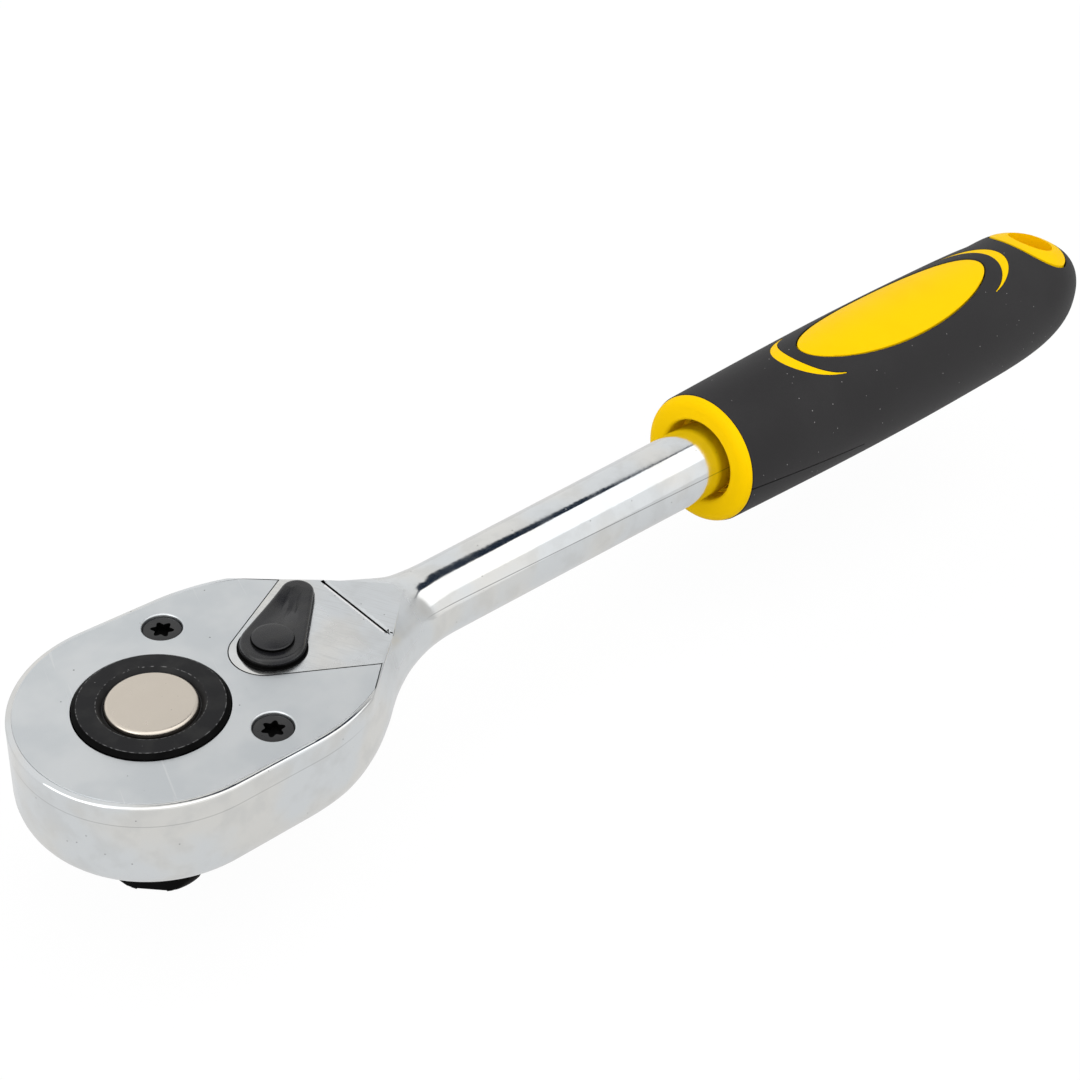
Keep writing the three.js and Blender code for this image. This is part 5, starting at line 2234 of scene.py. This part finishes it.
    def hang_hole_tool(self) -> Piece:
        """Makes the tool for the hang hole: a throat that flares to both faces.

        Returns:
            The tool.
        """
        half, flare, steps = self.belly, self.hang_flare, 10
        narrowing = [smooth(0, 1, share) for share in spread(0, 1, steps)]
        low = zip(narrowing, spread(-half, -half / 3, steps))
        high = zip(narrowing, spread(half / 3, half, steps))
        profile = [(0.0, -half)]
        profile += [(lerp(flare, 1, share), z) for share, z in low]
        profile += [(lerp(1, flare, share), z) for share, z in high]
        profile.append((0.0, half))
        tool = Bench.turn("hang_hole", profile, 96)
        size = Matrix.Diagonal((self.hang_hole[0], self.hang_hole[1], 1, 1))
        return Bench.move(tool, Matrix.Translation((self.hang_x, 0, 0)) @ size)

    def core(self) -> Piece:
        """Models the core with its collar, insets, shank bore and hang hole.

        Returns:
            The core.
        """
        front = self.front - self.gap
        piece = self.form("handle_core_moulded", self.wall + self.gap, front)
        oval, *crescents, rim = self.insets(0)
        raised = Bench.fit(self.form("raised", self.oval_sunk, front), Fit.KEEP, oval)
        Bench.fit(piece, Fit.JOIN, Bench.soften(raised, self.oval_round, 2))
        for column in crescents:
            raised = Bench.fit(self.form("raised", self.crescent_sunk, front), Fit.KEEP, column)
            Bench.fit(piece, Fit.JOIN, raised)
        through = Bench.fit(self.form("through", -self.rim_proud, front), Fit.KEEP, rim)
        Bench.fit(piece, Fit.JOIN, through, self.collar())
        start, end = self.collar_front - 2 * CLEAR, self.collar_front + self.recess_depth
        recess = Bench.move(Bench.rod(self.recess_radius, start, end), self.along_x)
        bore = Bench.move(Bench.rod(self.bore, self.collar_front, self.bore_end), self.along_x)
        Bench.fit(piece, Fit.CUT, recess, bore, self.hang_hole_tool())
        Bench.settle(piece, self.shank.frame(self.head))
        return self.dress(piece, "yellow_plastic", "frame", "yellow_plastic", "handle_core")

    def parting(self, side: int) -> Piece:
        """Makes the tool for the mould's parting line, which drops along one side of the rubber.

        Args:
            side: 1 for the left, -1 for the right.

        Returns:
            The tool.
        """
        length, drop = self.parting_length, self.parting_drop
        start = Vector((self.front - CLEAR, side * self.front_radius, 0))
        end_radius = self.radius(self.front + length, 0)
        end = Vector((self.front + length, side * math.sqrt(end_radius**2 - drop**2), -drop))
        along = (end - start).normalized()
        across = Vector((0, 1, 0))
        across = (across - along * across.dot(along)).normalized()
        turn = Matrix((along, across, along.cross(across))).transposed().to_4x4()
        middle = (start + end) / 2 + Vector((0, side * (CLEAR - self.parting_depth), 0))
        size = Vector(((end - start).length, 2 * CLEAR, self.parting_width)) / 2
        return Bench.slab(tuple(middle - size), tuple(middle + size), turn)

    def grip(self) -> Piece:
        """Models the rubber with a window round each inset and a parting line on each side.

        Returns:
            The grip.
        """
        piece = self.form("rubber_grip_moulded", 0, self.front)
        inside = self.form("inside", self.wall, self.front - 2 * CLEAR)
        oval, *crescents, rim = self.insets(self.gap)
        Bench.fit(piece, Fit.CUT, inside, oval, rim)
        Bench.soften(piece, self.window_round)
        Bench.fit(piece, Fit.CUT, *crescents, *(self.parting(side) for side in SIDES))
        Bench.settle(piece, self.shank.frame(self.head))
        return self.dress(piece, "grip_rubber", "frame", "grip_rubber", "rubber_grip")


@dataclass
class Studio:
    """A pale floor, a soft surround, two soft lamps and the camera. Metres and degrees."""

    camera_place: Point = (-0.08684, -0.14561, 0.18142)
    heading: float = 47.859
    drop: float = 35.773
    roll: float = -6.621
    lens: float = 54.14
    floor_z: float = -0.012
    floor_size: float = 6.0
    floor_level: float = 0.55
    floor_glow: float = 1.08
    floor_seen: float = 0.86
    floor_mirrored: float = 0.4
    far: float = 0.87
    near: float = 0.98
    near_edge: Pair = (-1.15, -1.0)
    softbox: float = 1.42
    end: float = 0.64
    end_edge: Pair = (0.67, 0.79)
    card: Colour = (0.015, 0.025, 0.045, 1)
    card_edge: float = 0.105
    card_blur: float = 0.02
    card_start: Pair = (0.25, 0.35)
    card_width: float = 0.06
    card_flares: tuple[tuple[float, float, float], ...] = ((0.56, 0.63, 0.22), (0.48, 0.57, 0.3))
    horizon: float = 0.02
    key_place: Point = (-0.25, -0.5, 0.9)
    key_size: float = 0.7
    key_power: float = 0.2
    fill_place: Point = (-0.85, 0.0, 0.3)
    fill_size: float = 0.8
    fill_power: float = 1.7
    aim: Point = (0.1, 0.0, 0.02)
    sensor: float = 36.0
    clip_start: float = 0.005

    def build(self) -> None:
        """Sets the floor, surround, lamps and camera."""
        self.view()
        self.floor()
        self.surround()
        self.lamp("key", self.key_place, self.key_size, self.key_power)
        self.lamp("fill", self.fill_place, self.fill_size, self.fill_power)
        bpy.context.scene.view_settings.view_transform = "Standard"

    def view(self) -> None:
        """Places the camera at the photograph's viewing angle."""
        heading, drop, roll = (math.radians(v) for v in (self.heading, self.drop, self.roll))
        forward = Vector(
            (
                math.sin(heading) * math.cos(drop),
                math.cos(heading) * math.cos(drop),
                -math.sin(drop),
            )
        )
        right = Vector((math.cos(heading), -math.sin(heading), 0))
        down = forward.cross(right)
        turned_right = right * math.cos(roll) + down * math.sin(roll)
        turned_down = down * math.cos(roll) - right * math.sin(roll)
        data = bpy.data.cameras.new("camera")
        data.lens = self.lens
        data.sensor_width = self.sensor
        data.clip_start = self.clip_start
        camera = bpy.data.objects.new("camera", data)
        turn = Matrix((turned_right, -turned_down, -forward)).transposed().to_4x4()
        camera.matrix_world = Matrix.Translation(self.camera_place) @ turn
        bpy.context.scene.collection.objects.link(camera)
        bpy.context.scene.camera = camera

    def floor(self) -> None:
        """Adds the floor, white to the camera and to metal but keeping the shadow."""
        Bench.clear()
        bpy.ops.mesh.primitive_plane_add(size=self.floor_size, location=(0, 0, self.floor_z))
        floor = Bench.named("floor")
        shade = Shade("floor_white")
        paint = shade.node("ShaderNodeBsdfDiffuse", {}, {"Color": grey(self.floor_level)})
        shine = {"Color": grey(1.0), "Strength": self.floor_glow}
        glow = shade.node("ShaderNodeEmission", {}, shine)
        seen = shade.node("ShaderNodeLightPath", output="Is Camera Ray")
        mirrored = shade.node("ShaderNodeLightPath", output="Is Glossy Ray")
        share = seen * self.floor_seen + mirrored * self.floor_mirrored
        mixed = shade.node("ShaderNodeMixShader", {}, {0: share, 1: paint, 2: glow})
        shade.node("ShaderNodeOutputMaterial", {}, {"Surface": mixed})
        floor.data.materials.append(shade.material)

    def surround(self) -> None:
        """Sets a soft room, white to the camera. Metal sees a softbox and a dark card in it."""
        world = bpy.data.worlds.new("room")
        world.use_nodes = True
        bpy.context.scene.world = world
        shade = Shade("room", world.node_tree)
        place = shade.node("ShaderNodeTexCoord", output="Generated")
        x, y, z = (shade.node("ShaderNodeSeparateXYZ", {}, {0: place}, axis) for axis in "XYZ")
        tilt = shade.math("DIVIDE", y, shade.math("MAXIMUM", z, self.horizon))
        edge, blur = self.card_edge, self.card_blur
        near = 1 - shade.step(tilt, edge - blur, edge)
        low = 1 - shade.step(tilt, *self.near_edge)
        over, above = self.softbox - self.far, self.softbox - self.near
        level = near * over - low * near * above + self.far
        end = shade.step(x, *self.end_edge)
        level = level * (1 - end) + end * self.end
        wide = self.card_width
        for start, stop, more in self.card_flares:
            wide = wide + (1 - shade.step(x, start, stop)) * more
        behind = 1 - shade.step(tilt - wide, edge - blur, edge + blur)
        card = behind * (1 - near) * shade.step(x, *self.card_start)
        room = shade.blend(card, level, self.card)
        seen = shade.node("ShaderNodeLightPath", output="Is Camera Ray")
        colour = shade.blend(seen, room, grey(1.0))
        back = shade.node("ShaderNodeBackground", {}, {"Color": colour, "Strength": 1.0})
        shade.node("ShaderNodeOutputWorld", {}, {"Surface": back})

    def lamp(self, name: str, place: Point, size: float, power: float) -> None:
        """Adds a soft square lamp that points at the tool's middle.

        Args:
            name: Its name.
            place: Where it hangs.
            size: The length of its sides.
            power: Its power, in watts.
        """
        data = bpy.data.lights.new(name, "AREA")
        data.size = size
        data.energy = power
        lamp = bpy.data.objects.new(name, data)
        lamp.location = place
        aim = Vector(self.aim) - Vector(place)
        lamp.rotation_euler = aim.to_track_quat("-Z", "Y").to_euler()
        bpy.context.scene.collection.objects.link(lamp)


def make_finishes(head: Head, shank: Shank) -> dict[str, bpy.types.Material]:
    """Makes every finish.

    Args:
        head: The head's plan.
        shank: The shank's axis.

    Returns:
        The materials by name.
    """
    finishes = (
        ForgedChrome(shank.axis_z(head, 0), math.tan(shank.rise)),
        SatinChrome(),
        PAINTED_HIGHLIGHT_CHROME,
        BLACK_OXIDE,
        HUB_OXIDE,
        PAINTED_SHADE_BLACK,
        LEVER_BLACK,
        WarmNickel(),
        BareSteel(),
        YELLOW_PLASTIC,
        GRIP_RUBBER,
        SEAL_RUBBER,
    )
    return {finish.name: finish.material() for finish in finishes}


def shorten_spring(frame: dict, finishes: dict[str, bpy.types.Material]) -> None:
    """Copies the button's spring, welds its doubled points and gives it its finish and the
    drive's body.

    Args:
        frame: What the frame holds.
        finishes: The materials by name.
    """
    Bench.clear()
    coil = frame["nodes"]["release_spring"].data.copy()
    piece = bpy.data.objects.new("release_spring_coil", coil)
    bpy.context.scene.collection.objects.link(piece)
    Bench.edit(piece)
    bpy.ops.mesh.remove_doubles(threshold=WELD * MM)
    bpy.ops.object.mode_set(mode="OBJECT")
    piece.data.materials.clear()
    piece.data.materials.append(finishes["bare_steel"])
    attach(piece, "drive")
    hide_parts("release_spring")
    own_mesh(piece)
    LOG.info("%s: %d faces", piece.name, len(piece.data.polygons))


def dress_inner(frame: dict, finishes: dict[str, bpy.types.Material]) -> None:
    """Gives the solids that stay as they are their finishes.

    Args:
        frame: What the frame holds.
        finishes: The materials by name.
    """
    rubber = ("hub_seal", "lever_o_ring")
    for name, node in frame["nodes"].items():
        if not node.hide_render:
            finish = "seal_rubber" if name in rubber else "bare_steel"
            node.data.materials.clear()
            node.data.materials.append(finishes[finish])


def main() -> None:
    """Builds the tool and its studio."""
    logging.basicConfig(level=logging.INFO, format="%(message)s")
    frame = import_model()
    head, shank = Head(), Shank()
    finishes = make_finishes(head, shank)
    shared = (head, shank, finishes)
    for kind in (Forging, Cover, Drive, Lever, Handle):
        kind(*shared).build()
    shorten_spring(frame, finishes)
    dress_inner(frame, finishes)
    Studio().build()
    Bench.clear()


if __name__ == "__main__":
    main()
